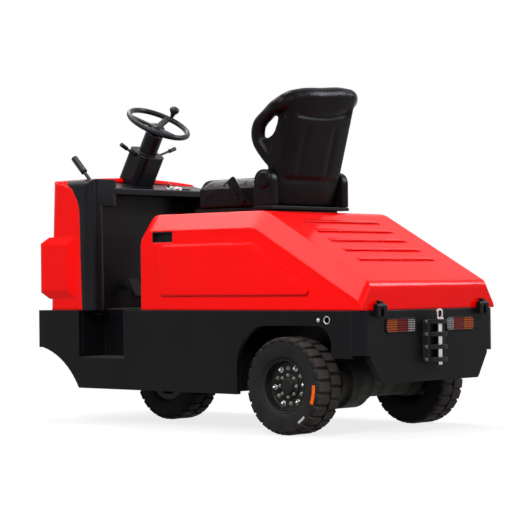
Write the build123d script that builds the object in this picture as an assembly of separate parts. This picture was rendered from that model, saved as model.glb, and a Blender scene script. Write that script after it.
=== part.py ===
from build123d import *
import os
from math import asin, cos, degrees, hypot, pi, radians, sin, sqrt, tan

# Three-wheel electric tow tractor. Sizes are in millimetres.
# X runs forward, Y to the driver's left and Z up; the origin is on the ground, under the middle of the part.

# Overall layout
wheelbase = 1211.0
front_overhang = 516.0
rear_overhang = 439.0
hitch_reach = 80.0
body_width = 1000.0
rear_track = 917.0
deck_height = 568.0
skirt_height = 177.0

# General clearances
running_clearance = 0.05
seat_clearance = 0.2
moving_clearance = 6.0
joint_gap = 2.0

# Tyres and wheels
tyre_width = 170.0
lug_height = 14.0
lug_count = 20
lug_share = 0.56
lug_centre_gap = 8.0
lug_shoulder = 24.0
lug_wrap = 52.0
lug_root = 6.0
sidewall_inset = 3.0
rim_seat_d = 206.0
rim_flange_d = 245.0
rim_width = 136.0
rim_wall = 9.0
rim_lip = 7.0
disc_thickness = 14.0
disc_offset = 26.0
hub_d = 118.0
hub_cap_wall = 10.0
rear_hub_inner = 46.0
rear_hub_outer = 58.0

# Rear axle and drive
spindle_d = 60.0
axle_tube_d = 154.0
axle_tube_half = 326.0
drum_d = 172.0
drum_gap = 8.0
gear_case_d = 244.0
gear_case_y = 110.0
gear_case_half = 116.0
gear_case_round = 50.0
gear_case_step = 24.0
motor_d = 190.0
motor_gap = 12.0
motor_rise = 20.0

# Steered front fork
fork_leg = 25.0
fork_leg_width = 96.0
fork_crown = 35.0
fork_room = 15.0
fork_foot = 48.0
front_axle_d = 50.0
axle_nut_d = 78.0
axle_nut_thickness = 14.0
kingpin_d = 70.0
kingpin_gap = 3.0
head_tube_d = 130.0
head_tube_length = 45.0

# Chassis plates
side_plate = 25.0
bumper_thickness = 40.0
bumper_height = 190.0
bumper_corner = 20.0
approach_radius = 420.0
approach_length = 271.0
rear_plate = 30.0
rear_corner = 45.0
rear_inner_corner = 15.0
rear_wrap = 60.0
rear_band_height = 199.0
rear_skirt_drop = 213.0
apron_inset = 64.0
apron_foot_inset = 130.0
apron_step = 13.0
apron_slant_drop = 318.0
apron_bottom_drop = 328.0
apron_corner = 10.0
arch_ahead = 320.0
arch_behind = 262.0
arch_room = 50.0
arch_front_corner = 190.0
arch_rear_corner = 90.0
arch_lip_corner = 20.0
tie_down_d = 28.0
tie_down_behind = 239.0
tie_down_drop = 41.0
floor_thickness = 20.0
web_plate = 20.0
tray_plate = 15.0
tray_rise = 13.0
head_plate = 20.0
head_web_half = 285.0
head_web_rise = 20.0
axle_web_half = 280.0
axle_web_rise = 28.0
axle_pad_length = 130.0

# Step wells in the sides
step_gap = 121.0
step_length = 329.0
step_depth = 183.0
step_drop = 238.0
step_sheet = 6.0

# Battery
battery_width = 800.0
battery_height = 620.0
battery_margin = 40.0

# Hood over the battery
hood_length = 1402.0
hood_side_gap = 5.0
hood_wall = 6.0
hood_height = 467.0
hood_tail_height = 124.0
hood_slope_length = 625.0
hood_front_corner = 75.0
hood_brow_corner = 140.0
hood_tail_corner = 45.0
hood_chamfer_side = 60.0
hood_chamfer_drop = 80.0
louvre_count = 5
louvre_length = 560.0
louvre_width = 16.0
louvre_depth = 3.0
louvre_first = 120.0
louvre_pitch = 95.0
boss_proud = 8.0
boss_rise = 72.0
boss_height = 240.0
boss_front_gap = 138.0
boss_top_length = 606.0
boss_foot_length = 996.0
boss_corner = 18.0
boss_brow_corner = 72.0
grip_length = 136.0
grip_height = 50.0
grip_depth = 26.0
grip_wall = 4.0
grip_front_gap = 83.0
grip_drop = 86.0

# Hood hinges at the rear plate
hinge_y = 384.0
hinge_width = 67.0
hinge_pin_d = 12.0
hinge_pin_behind = 15.0
hinge_pin_rise = 20.0
hinge_ear_r = 13.0
hinge_ear_width = 22.0
hinge_side_gap = 1.0
hinge_foot_drop = 24.0
hinge_leaf_rise = 26.0

# Front cowl, measured back from the bumper's face and up from the deck
cowl_inset = 22.0
cowl_wall = 8.0
cowl_length = 317.0
cowl_height = 686.0
cowl_crown = 27.0
cowl_top_wall = 22.0
cowl_top_back = 90.0
cowl_waist_back = 72.0
cowl_waist_rise = 332.0
cowl_foot_back = 58.0
cowl_plan_corner = 50.0
cowl_rear_lean = 16.0
cowl_rear_rise = 532.0
cowl_rear_corner = 150.0
cowl_rear_angle = 58.0
cowl_chamfer_side = 63.0
cowl_chamfer_reach = 152.0
cowl_chamfer_drop = 39.0
nose_proud = 18.0
nose_back = 7.0
nose_low_rise = 101.0
nose_high_rise = 333.0
nose_shoulder = 41.0
nose_bevel = 43.0
nose_corner = 30.0
nose_edge = 8.0
nose_fade_back = 273.0
nose_fade_run = 45.0

# Dashboard
dash_overhang = 70.0
dash_drop = 66.0
dash_shelf = 30.0
dash_shelf_reach = 150.0
pillar_width = 118.0
pillar_round = 52.0
firewall_ahead = 104.0
firewall_thickness = 12.0
panel_length = 175.0
panel_rise = 40.0
hump_drop = 22.0
hump_width = 205.0
hump_height = 136.0
hump_length = 214.0
hump_corner = 45.0
hump_front_corner = 70.0

# Steering column, wheel and stalks
wheel_behind_cowl = 78.0
wheel_above_cowl = 277.0
column_tilt = 30.0
column_width = 160.0
column_depth = 140.0
column_corner = 36.0
column_top_below = 168.0
column_notch_gap = 4.0
neck_d = 96.0
neck_top_below = 58.0
steering_wheel_d = 350.0
grip_d = 28.0
wheel_hub_d = 92.0
wheel_hub_top_below = 6.0
wheel_dish = 24.0
spoke_width = 26.0
spoke_thickness = 12.0
spoke_count = 3
steering_shaft_d = 30.0
shaft_depth = 90.0
knob_d = 44.0
knob_stem_d = 18.0
knob_angle = 66.0
knob_sides = 12
stalk_d = 13.0
stalk_tip_d = 22.0
stalk_tip_length = 45.0
left_stalk_length = 113.0
left_stalk_rise = 27.0
right_stalk_length = 140.0
right_stalk_rise = 19.0
stalk_below = 186.0

# Parking brake lever and pedals
brake_lever_behind = 12.0
brake_lever_inset = 48.0
brake_lever_lean = 45.0
brake_rod_d = 18.0
brake_rod_length = 118.0
brake_grip_d = 34.0
brake_grip_length = 105.0
pedal_width = 70.0
pedal_height = 110.0
pedal_thickness = 14.0
pedal_tilt = 35.0
pedal_stem = 16.0
pedal_reach = 70.0
pedal_rise = 110.0
brake_pedal_y = 60.0
drive_pedal_y = -95.0

# Lamps
headlamp_width = 150.0
headlamp_height = 90.0
headlamp_y = 330.0
headlamp_rise = 207.0
headlamp_depth = 20.0
headlamp_proud = 4.0
lamp_corner = 12.0
tail_lamp_y = 222.5
tail_lamp_length = 205.0
tail_lamp_height = 54.0
tail_lamp_drop = 42.0
tail_lamp_depth = 14.0
tail_lamp_proud = 4.0

# Tow coupling
hitch_half = 50.0
hitch_corner = 44.0
hitch_cheek = 12.0
hitch_cheek_reach = 34.0
hitch_shelf = 20.0
hitch_shelf_count = 4
hitch_shelf_pitch = 58.0
hitch_drop = 45.0
hitch_pin_d = 24.0
hitch_pin_behind = 51.0
hitch_pin_play = 0.4
hitch_pin_tip = 14.0
hitch_collar_d = 38.0
hitch_collar = 8.0
hitch_loop_wire = 8.0
hitch_loop_width = 42.0
hitch_loop_height = 44.0

# Seat on the hood, measured back from the hood's front and up from its top
seat_base_front_gap = 88.0
seat_base_length = 590.0
seat_base_half = 205.0
seat_base_height = 30.0
seat_base_corner = 25.0
cushion_front_gap = 93.0
cushion_length = 460.0
cushion_half = 230.0
cushion_height = 135.0
cushion_corner = 42.0
back_foot_gap = 647.0
back_lean = 16.0
back_height = 555.0
back_thickness = 92.0
back_half_top = 232.0
back_half_foot = 195.0
back_corner = 30.0
back_foot_height = 118.0
back_foot_room = 8.0
roll_d = 92.0
roll_flat = 150.0
roll_droop = 44.0
roll_bend = 110.0
wing_d = 80.0
wing_half = 246.0
wing_tuck = 8.0
wing_brow_share = 0.094
wing_brow_reach = 148.0
wing_shoulder_share = 0.213
wing_reach = 196.0
wing_bend = 62.0
wing_low_share = 0.496
wing_foot_share = 0.37
wing_web = 34.0
wing_web_share = 0.54
hip_half = 238.0
hip_thickness = 46.0
hip_length = 118.0
hip_height = 176.0
hip_rear_gap = 681.0
hip_corner = 56.0
hip_ear = 16.0

# Places worked out from the layout
overall_length = hitch_reach + rear_overhang + wheelbase + front_overhang
hitch_end_x = -overall_length / 2
rear_face_x = hitch_end_x + hitch_reach
rear_axle_x = rear_face_x + rear_overhang
front_axle_x = rear_axle_x + wheelbase
bumper_face_x = front_axle_x + front_overhang
bumper_back_x = bumper_face_x - bumper_thickness
tyre_od = deck_height - floor_thickness - head_tube_length - kingpin_gap - fork_crown - fork_room
axle_z = tyre_od / 2
body_half = body_width / 2
inner_half = body_half - side_plate
floor_under = deck_height - floor_thickness
hood_base = deck_height + joint_gap
hood_top = deck_height + hood_height
hood_half = body_half - hood_side_gap
hood_front_x = rear_face_x + hood_length
cowl_half = body_half - cowl_inset
cowl_rear_x = bumper_face_x - cowl_length
cowl_top = deck_height + cowl_height
dash_mid_z = cowl_top - dash_drop


def slab(x, y, z):
    """Box between three low and high pairs."""
    block = Box(x[1] - x[0], y[1] - y[0], z[1] - z[0])
    return Pos((x[0] + x[1]) / 2, (y[0] + y[1]) / 2, (z[0] + z[1]) / 2) * block


def outline(points):
    """Closed outline from (first, second, corner radius) points."""
    corners = [(a, b) for a, b, r in points]
    return FilletPolyline(*corners, radius=[r for a, b, r in points], close=True)


def side_block(points, y_low, y_high):
    """Side-view outline of (x, z, radius) points, extruded across Y."""
    face = make_face(Plane.XZ * outline(points))
    return Pos(0, y_low, 0) * extrude(face, y_high - y_low, dir=(0, 1, 0))


def plan_block(points, z_low, z_high):
    """Plan outline of (x, y, radius) points, extruded up."""
    face = make_face(outline(points))
    return Pos(0, 0, z_low) * extrude(face, z_high - z_low, dir=(0, 0, 1))


def rear_block(points, x_low, x_high):
    """Rear-view outline of (y, z, radius) points, extruded along X."""
    face = make_face(Plane.YZ * outline(points))
    return Pos(x_low, 0, 0) * extrude(face, x_high - x_low, dir=(1, 0, 0))


def framed(y, z, corner, x_low, x_high):
    """Rounded rectangle in the rear view, extruded along X."""
    points = [(y[0], z[0], corner), (y[1], z[0], corner), (y[1], z[1], corner), (y[0], z[1], corner)]
    return rear_block(points, x_low, x_high)


def turned(points):
    """Round piece about the Y axis from (radius, y, corner radius) points."""
    return revolve(make_face(outline(points)), Axis.Y)


def rod_y(radius, x, z, y_low, y_high):
    """Round bar along Y."""
    bar = Rot(90, 0, 0) * Cylinder(radius, y_high - y_low)
    return Pos(x, (y_low + y_high) / 2, z) * bar


def rod_z(radius, x, y, z_low, z_high):
    """Round bar along Z."""
    return Pos(x, y, (z_low + z_high) / 2) * Cylinder(radius, z_high - z_low)


def rod_along(radius, start, direction, length):
    """Round bar from a point along a direction."""
    return Plane(origin=start, z_dir=direction) * extrude(Circle(radius), length)


def mirrored(shape):
    """The same piece on the other side of the vehicle."""
    return mirror(shape, Plane.XZ)


nodes = {}

# Solid tyre with staggered lugs that wrap over the shoulders
rim_seat_r = rim_seat_d / 2
rim_flange_r = rim_flange_d / 2
rim_half = rim_width / 2
bead_half = rim_half - rim_lip


def make_tyre():
    crown = tyre_od / 2
    edge = tyre_width / 2
    carcass_r = crown - lug_height
    bead_r = rim_seat_r + seat_clearance
    bead_y = bead_half - seat_clearance
    cheek_r = rim_flange_r + seat_clearance
    belly = edge - sidewall_inset
    carcass = extrude(RegularPolygon(carcass_r, 2 * lug_count), belly, both=True)
    carcass -= Cylinder(bead_r, tyre_width)
    cheek = extrude(RegularPolygon(cheek_r, lug_count, major_radius=False), belly - bead_y)
    carcass -= Pos(0, 0, bead_y) * cheek
    carcass -= Pos(0, 0, -belly) * cheek
    lug_length = lug_share * pi * tyre_od / lug_count
    lug_turn = degrees(asin(lug_length / tyre_od))
    tread_r = crown * cos(radians(lug_turn))
    root_r = carcass_r - lug_root
    lug_outline = [
        (root_r, lug_centre_gap / 2, 0),
        (tread_r, lug_centre_gap / 2, 0),
        (tread_r, edge - lug_shoulder, 0),
        (tread_r - lug_shoulder, edge, 0),
        (tread_r - lug_wrap, belly - lug_root, 0),
        (root_r, belly - lug_root, 0),
    ]
    lug = extrude(make_face(outline(lug_outline)), lug_length / 2, both=True)
    pitch = 360 / lug_count
    lugs = [Rot(0, lug_turn + i * pitch, 0) * lug for i in range(lug_count)]
    other = mirrored(lug)
    lugs += [Rot(0, lug_turn + (i + 0.5) * pitch, 0) * other for i in range(lug_count)]
    upright = Rot(0, lug_turn, 0) * Rot(90, 0, 0) * carcass
    return upright.fuse(*lugs)


# Pressed steel wheel with a dished disc; the hub is open at both ends or capped at the outer one
def make_rim(bore_d, hub_low, hub_high, disc_y, capped):
    bore_r = bore_d / 2 + running_clearance
    hub_r = hub_d / 2
    barrel_r = rim_seat_r - rim_wall
    disc_low = disc_y - disc_thickness / 2
    disc_high = disc_y + disc_thickness / 2
    points = [
        (bore_r, hub_low, 0),
        (hub_r, hub_low, 0),
        (hub_r, disc_low, 0),
        (barrel_r, disc_low, 0),
        (barrel_r, -rim_half, 0),
        (rim_flange_r, -rim_half, 0),
        (rim_flange_r, -bead_half, 0),
        (rim_seat_r, -bead_half, 0),
        (rim_seat_r, bead_half, 0),
        (rim_flange_r, bead_half, 0),
        (rim_flange_r, rim_half, 0),
        (barrel_r, rim_half, 0),
        (barrel_r, disc_high, 0),
        (hub_r, disc_high, 0),
    ]
    if capped:
        points += [
            (hub_r, hub_high, 0),
            (0, hub_high, 0),
            (0, hub_high - hub_cap_wall, 0),
            (bore_r, hub_high - hub_cap_wall, 0),
        ]
    else:
        points += [(hub_r, hub_high, 0), (bore_r, hub_high, 0)]
    return turned(points)


tyre = make_tyre()
left_place = Pos(rear_axle_x, rear_track / 2, axle_z)
nodes["rear_tyre_left"] = left_place * tyre
nodes["rear_rim_left"] = left_place * make_rim(spindle_d, -rear_hub_inner, rear_hub_outer, disc_offset, True)
nodes["rear_tyre_right"] = mirrored(nodes["rear_tyre_left"])
nodes["rear_rim_right"] = mirrored(nodes["rear_rim_left"])

# Rear axle with an offset gear case, brake drums and wheel spindles
drum_end = rear_track / 2 - rear_hub_inner - drum_gap
spindle_end = rear_track / 2 + rear_hub_outer - hub_cap_wall - drum_gap
axle = rod_y(axle_tube_d / 2, 0, 0, -axle_tube_half, axle_tube_half)
axle += rod_y(drum_d / 2, 0, 0, axle_tube_half, drum_end)
axle += rod_y(drum_d / 2, 0, 0, -drum_end, -axle_tube_half)
axle += rod_y(spindle_d / 2, 0, 0, -spindle_end, spindle_end)
gear_case = rod_y(gear_case_d / 2, 0, 0, gear_case_round - gear_case_half, gear_case_half - gear_case_round)
gear_case += rod_y(gear_case_d / 2 - gear_case_step, 0, 0, -gear_case_half, gear_case_half)
axle += Pos(0, gear_case_y, 0) * gear_case
nodes["rear_axle"] = Pos(rear_axle_x, 0, axle_z) * axle

# Drive motor, flanged to the front of the gear case
arch_front_x = rear_axle_x + arch_ahead
motor_length = arch_front_x - motor_gap - rear_axle_x
motor = rod_along(motor_d / 2, (rear_axle_x, gear_case_y, axle_z + motor_rise), (1, 0, 0), motor_length)
nodes["drive_motor"] = motor - nodes["rear_axle"]

# Front fork: crown, two legs and the kingpin in one welded piece, with its wheel axle
leg_inner = tyre_width / 2 + fork_room
leg_outer = leg_inner + fork_leg
leg_x = (front_axle_x - fork_leg_width / 2, front_axle_x + fork_leg_width / 2)
crown_low = tyre_od + fork_room
crown_high = crown_low + fork_crown
foot_corner = 0.45 * fork_leg_width
fork_side = [
    (leg_x[0], crown_high, 0),
    (leg_x[0], axle_z - fork_foot, foot_corner),
    (leg_x[1], axle_z - fork_foot, foot_corner),
    (leg_x[1], crown_high, 0),
]
leg = side_block(fork_side, leg_inner, leg_outer)
fork = leg + mirrored(leg)
fork += slab(leg_x, (-leg_outer, leg_outer), (crown_low, crown_high))
fork += rod_z(kingpin_d / 2, front_axle_x, 0, crown_low, floor_under - kingpin_gap)
fork -= rod_y(front_axle_d / 2 + running_clearance, front_axle_x, axle_z, -leg_outer, leg_outer)
nodes["steer_fork"] = fork
nut_end = leg_outer + axle_nut_thickness
front_axle = rod_y(front_axle_d / 2, front_axle_x, axle_z, -leg_outer, leg_outer)
front_axle += rod_y(axle_nut_d / 2, front_axle_x, axle_z, leg_outer, nut_end)
front_axle += rod_y(axle_nut_d / 2, front_axle_x, axle_z, -nut_end, -leg_outer)
nodes["front_axle"] = front_axle
front_hub_half = leg_inner - moving_clearance
front_place = Pos(front_axle_x, 0, axle_z)
nodes["front_tyre"] = front_place * tyre
nodes["front_rim"] = front_place * make_rim(front_axle_d, -front_hub_half, front_hub_half, 0, False)

# Side plates with the approach curve, the step notch, the wheel arch and a tie-down hole
bumper_low = deck_height - bumper_height
rear_skirt_z = deck_height - rear_skirt_drop
rear_band_front_x = rear_face_x + rear_wrap
arch_rear_x = rear_axle_x - arch_behind
arch_top = tyre_od + arch_room
step_rear_x = hood_front_x + step_gap
step_front_x = step_rear_x + step_length
step_z = deck_height - step_drop
side_outline = [
    (bumper_back_x, deck_height, 0),
    (step_front_x, deck_height, 0),
    (step_front_x, step_z, 0),
    (step_rear_x, step_z, 0),
    (step_rear_x, deck_height, 0),
    (rear_band_front_x, deck_height, 0),
    (rear_band_front_x, rear_skirt_z, 0),
    (arch_rear_x, rear_skirt_z, arch_lip_corner),
    (arch_rear_x, arch_top, arch_rear_corner),
    (arch_front_x, arch_top, arch_front_corner),
    (arch_front_x, skirt_height, 0),
    (bumper_back_x, skirt_height, 0),
]
chord_z = bumper_low - skirt_height
chord = hypot(approach_length, chord_z)
arc_offset = sqrt(approach_radius ** 2 - (chord / 2) ** 2)
approach_x = bumper_back_x - approach_length / 2 + arc_offset * chord_z / chord
approach_z = skirt_height + chord_z / 2 - arc_offset * approach_length / chord
side_left = side_block(side_outline, inner_half, body_half)
side_left -= rod_y(approach_radius, approach_x, approach_z, inner_half, body_half)
tie_down_x = rear_axle_x - tie_down_behind
side_left -= rod_y(tie_down_d / 2, tie_down_x, deck_height - tie_down_drop, inner_half, body_half)
nodes["side_plate_left"] = side_left
nodes["side_plate_right"] = mirrored(side_left)

# Front bumper: thick plate with rounded corners
bumper_points = [
    (bumper_back_x, -body_half, 0),
    (bumper_face_x, -body_half, bumper_corner),
    (bumper_face_x, body_half, bumper_corner),
    (bumper_back_x, body_half, 0),
]
nodes["front_bumper"] = plan_block(bumper_points, bumper_low, deck_height)

# Rear plate: a band bent round the rear corners above a tapered apron, with pockets for the lamps
rear_inner_x = rear_face_x + rear_plate
rear_band_z = deck_height - rear_band_height
band_points = [
    (rear_band_front_x, -body_half, 0),
    (rear_face_x, -body_half, rear_corner),
    (rear_face_x, body_half, rear_corner),
    (rear_band_front_x, body_half, 0),
    (rear_band_front_x, inner_half, 0),
    (rear_inner_x, inner_half, rear_inner_corner),
    (rear_inner_x, -inner_half, rear_inner_corner),
    (rear_band_front_x, -inner_half, 0),
]
apron_half = body_half - apron_inset
apron_foot = body_half - apron_foot_inset
apron_sole = apron_foot - apron_corner
apron_points = [
    (-apron_half, rear_band_z, 0),
    (-apron_half, rear_band_z - apron_step, 0),
    (-apron_foot, deck_height - apron_slant_drop, apron_corner / 2),
    (-apron_sole, deck_height - apron_bottom_drop, apron_corner / 2),
    (apron_sole, deck_height - apron_bottom_drop, apron_corner / 2),
    (apron_foot, deck_height - apron_slant_drop, apron_corner / 2),
    (apron_half, rear_band_z - apron_step, 0),
    (apron_half, rear_band_z, 0),
]
rear = plan_block(band_points, rear_band_z, deck_height) + rear_block(apron_points, rear_face_x, rear_inner_x)
lamp_top = deck_height - tail_lamp_drop


def tail_lamp(grow, x_low, x_high):
    half = tail_lamp_length / 2 + grow
    z = (lamp_top - tail_lamp_height - grow, lamp_top + grow)
    return framed((tail_lamp_y - half, tail_lamp_y + half), z, lamp_corner + grow, x_low, x_high)


lamp_floor_x = rear_face_x + tail_lamp_depth
lamp_pocket = tail_lamp(seat_clearance, rear_face_x, lamp_floor_x)
nodes["rear_plate"] = rear - lamp_pocket - mirrored(lamp_pocket)
nodes["tail_lamp_left"] = tail_lamp(0, rear_face_x - tail_lamp_proud, lamp_floor_x)
nodes["tail_lamp_right"] = mirrored(nodes["tail_lamp_left"])

# Welded underframe: battery tray, bulkheads, steering head and axle webs
bulkhead_x = hood_front_x - web_plate
tray_z = skirt_height + tray_rise
frame = slab((arch_front_x, hood_front_x), (-inner_half, inner_half), (tray_z, tray_z + tray_plate))
for wall_x in (arch_front_x, bulkhead_x):
    frame += slab((wall_x, wall_x + web_plate), (-inner_half, inner_half), (tray_z, floor_under))
head_x = (hood_front_x, bumper_back_x)
head_half = head_web_half + web_plate
frame += slab(head_x, (-head_half, head_half), (floor_under - head_plate, floor_under))
axle_web_z = tyre_od / 2 + axle_tube_d / 2 + axle_web_rise
pad_x = (rear_axle_x - axle_pad_length / 2, rear_axle_x + axle_pad_length / 2)
for side in (-1, 1):
    head_web = sorted((side * head_web_half, side * head_half))
    frame += slab(head_x, head_web, (bumper_low + head_web_rise, floor_under))
    axle_web = sorted((side * axle_web_half, side * (axle_web_half + web_plate)))
    frame += slab((rear_inner_x, arch_front_x), axle_web, (axle_web_z, floor_under))
    pad_y = (axle_web[0] - web_plate / 2, axle_web[1] + web_plate / 2)
    frame += slab(pad_x, pad_y, (axle_z, axle_web_z))
frame -= rod_y(axle_tube_d / 2 + seat_clearance, rear_axle_x, axle_z, -body_half, body_half)
head_tube_low = crown_high + kingpin_gap
frame += rod_z(head_tube_d / 2, front_axle_x, 0, head_tube_low, floor_under)
frame -= rod_z(kingpin_d / 2 + running_clearance, front_axle_x, 0, head_tube_low, floor_under)
nodes["chassis_frame"] = frame

# Floor plate between the hood and the bumper, notched for the two step wells
step_inner = body_half - step_depth
well_x = (step_rear_x, step_front_x)
floor = slab((bulkhead_x, bumper_back_x), (-inner_half, inner_half), (floor_under, deck_height))
floor -= slab(well_x, (step_inner, inner_half), (floor_under, deck_height))
floor -= slab(well_x, (-inner_half, -step_inner), (floor_under, deck_height))
nodes["floor_plate"] = floor

# Step wells: folded sheet boxes open at the top and at the side
sheet_x = (step_rear_x - step_sheet, step_front_x + step_sheet)
well = slab(sheet_x, (step_inner - step_sheet, inner_half), (step_z - step_sheet, floor_under))
well -= slab(well_x, (step_inner, inner_half), (step_z, floor_under))
nodes["step_well_left"] = well
nodes["step_well_right"] = mirrored(well)

# Battery as one block on the tray
battery_x = (arch_front_x + web_plate + battery_margin, bulkhead_x - battery_margin)
battery_z = (tray_z + tray_plate, tray_z + tray_plate + battery_height)
nodes["battery"] = slab(battery_x, (-battery_width / 2, battery_width / 2), battery_z)

# Hood: one lid with a sloping tail and broad chamfers along its upper edges
hood_slope = (hood_height - hood_tail_height) / hood_slope_length
slope_secant = sqrt(1 + hood_slope ** 2)
slope_angle = degrees(asin(hood_slope / slope_secant))
hood_brow_x = rear_face_x + hood_slope_length


def hood_outline(front, rear_x, base, drop):
    low = drop * slope_secant
    tail_z = deck_height + hood_tail_height + (rear_x - rear_face_x) * hood_slope - low
    tail_room = (tail_z - base) / tan(radians(90 - slope_angle) / 2)
    return [
        (front, base, 0),
        (front, hood_top - drop, hood_front_corner),
        (hood_brow_x + (low - drop) / hood_slope, hood_top - drop, hood_brow_corner),
        (rear_x, tail_z, min(hood_tail_corner, 0.95 * tail_room)),
        (rear_x, base, 0),
    ]


def hood_form(inset, base):
    front = hood_front_x - inset
    rear_x = rear_face_x + inset
    half = hood_half - inset
    shoulder = half - hood_chamfer_side
    top = hood_outline(front, rear_x, base, inset)
    side = hood_outline(front, rear_x, base, inset + hood_chamfer_drop)
    form = side_block(top, -shoulder, shoulder)
    top_face = make_face(Plane.XZ * outline(top))
    side_face = make_face(Plane.XZ * outline(side))
    flank = loft([Pos(0, shoulder, 0) * top_face, Pos(0, half, 0) * side_face])
    return form + flank + mirrored(flank)


hood = hood_form(0, hood_base) - hood_form(hood_wall, hood_base)
for i in range(louvre_count):
    along = louvre_first + i * louvre_pitch
    groove_x = hood_brow_x - along * cos(radians(slope_angle))
    groove_z = hood_top - along * sin(radians(slope_angle))
    groove = Box(louvre_width, louvre_length, 2 * louvre_depth)
    hood -= Pos(groove_x, 0, groove_z) * Rot(0, -slope_angle, 0) * groove
boss_front_x = hood_front_x - boss_front_gap
boss_z = (deck_height + boss_rise, deck_height + boss_rise + boss_height)
boss_outline = [
    (boss_front_x, boss_z[0], boss_corner),
    (boss_front_x, boss_z[1], boss_corner),
    (boss_front_x - boss_top_length, boss_z[1], boss_brow_corner),
    (boss_front_x - boss_foot_length, boss_z[0], boss_corner),
]
boss = side_block(boss_outline, hood_half - hood_wall / 2, hood_half + boss_proud)
hood += boss
hood += mirrored(boss)

# Sunk grips in the sides of the hood: a black tray let into a slot
grip_x = (hood_front_x - grip_front_gap - grip_length, hood_front_x - grip_front_gap)
grip_z = (hood_top - grip_drop - grip_height, hood_top - grip_drop)


def grip_block(grow, y_low, y_high):
    return slab((grip_x[0] - grow, grip_x[1] + grow), (y_low, y_high), (grip_z[0] - grow, grip_z[1] + grow))


slot = grip_block(seat_clearance, hood_half - 2 * hood_wall, hood_half + boss_proud)
nodes["hood_shell"] = hood - slot - mirrored(slot)
grip_low = hood_half - grip_depth
grip = grip_block(0, grip_low, hood_half) - grip_block(-grip_wall, grip_low + grip_wall, hood_half)
nodes["hood_grip_left"] = grip
nodes["hood_grip_right"] = mirrored(grip)

# Hinges: two ears and a pin on the rear plate, one knuckle on the hood between them
pin_x = rear_face_x - hinge_pin_behind
pin_z = deck_height + hinge_pin_rise
hinge_span = (hinge_y - hinge_width / 2, hinge_y + hinge_width / 2)
ear_spans = [
    (hinge_span[0], hinge_span[0] + hinge_ear_width),
    (hinge_span[1] - hinge_ear_width, hinge_span[1]),
]
ears = rod_y(hinge_pin_d / 2, pin_x, pin_z, *hinge_span)
for span in ear_spans:
    ears += rod_y(hinge_ear_r, pin_x, pin_z, *span)
    ears += slab((pin_x - hinge_ear_r, pin_x + hinge_ear_r), span, (deck_height - hinge_foot_drop, pin_z))
    ears += slab((pin_x, rear_face_x), span, (deck_height - hinge_foot_drop, deck_height))
nodes["hinge_ears"] = [ears, mirrored(ears)]
knuckle_span = (ear_spans[0][1] + hinge_side_gap, ear_spans[1][0] - hinge_side_gap)
knuckle = rod_y(hinge_ear_r, pin_x, pin_z, *knuckle_span)
leaf_x = (pin_x - hinge_ear_r / 2, rear_face_x)
knuckle += slab(leaf_x, knuckle_span, (pin_z, pin_z + hinge_leaf_rise))
knuckle -= rod_y(hinge_pin_d / 2 + running_clearance, pin_x, pin_z, *knuckle_span)
nodes["hood_hinge_leaves"] = [knuckle, mirrored(knuckle)]


# Front cowl: crowned upper panel, chamfered along its sides, above a nose band that wraps round them
crown_r = (cowl_half ** 2 + cowl_crown ** 2) / (2 * cowl_crown)
crown_z = cowl_top - crown_r
chamfer_y = cowl_half - cowl_chamfer_side
chamfer_front = Vector(bumper_face_x - cowl_top_back, cowl_half, cowl_top - cowl_crown)
chamfer_foot = chamfer_front - Vector(cowl_chamfer_reach, 0, cowl_chamfer_drop)
chamfer_head = Vector(chamfer_foot.X, chamfer_y, crown_z + sqrt(crown_r ** 2 - chamfer_y ** 2))
chamfer_normal = (chamfer_foot - chamfer_front).cross(chamfer_head - chamfer_front).normalized()


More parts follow.
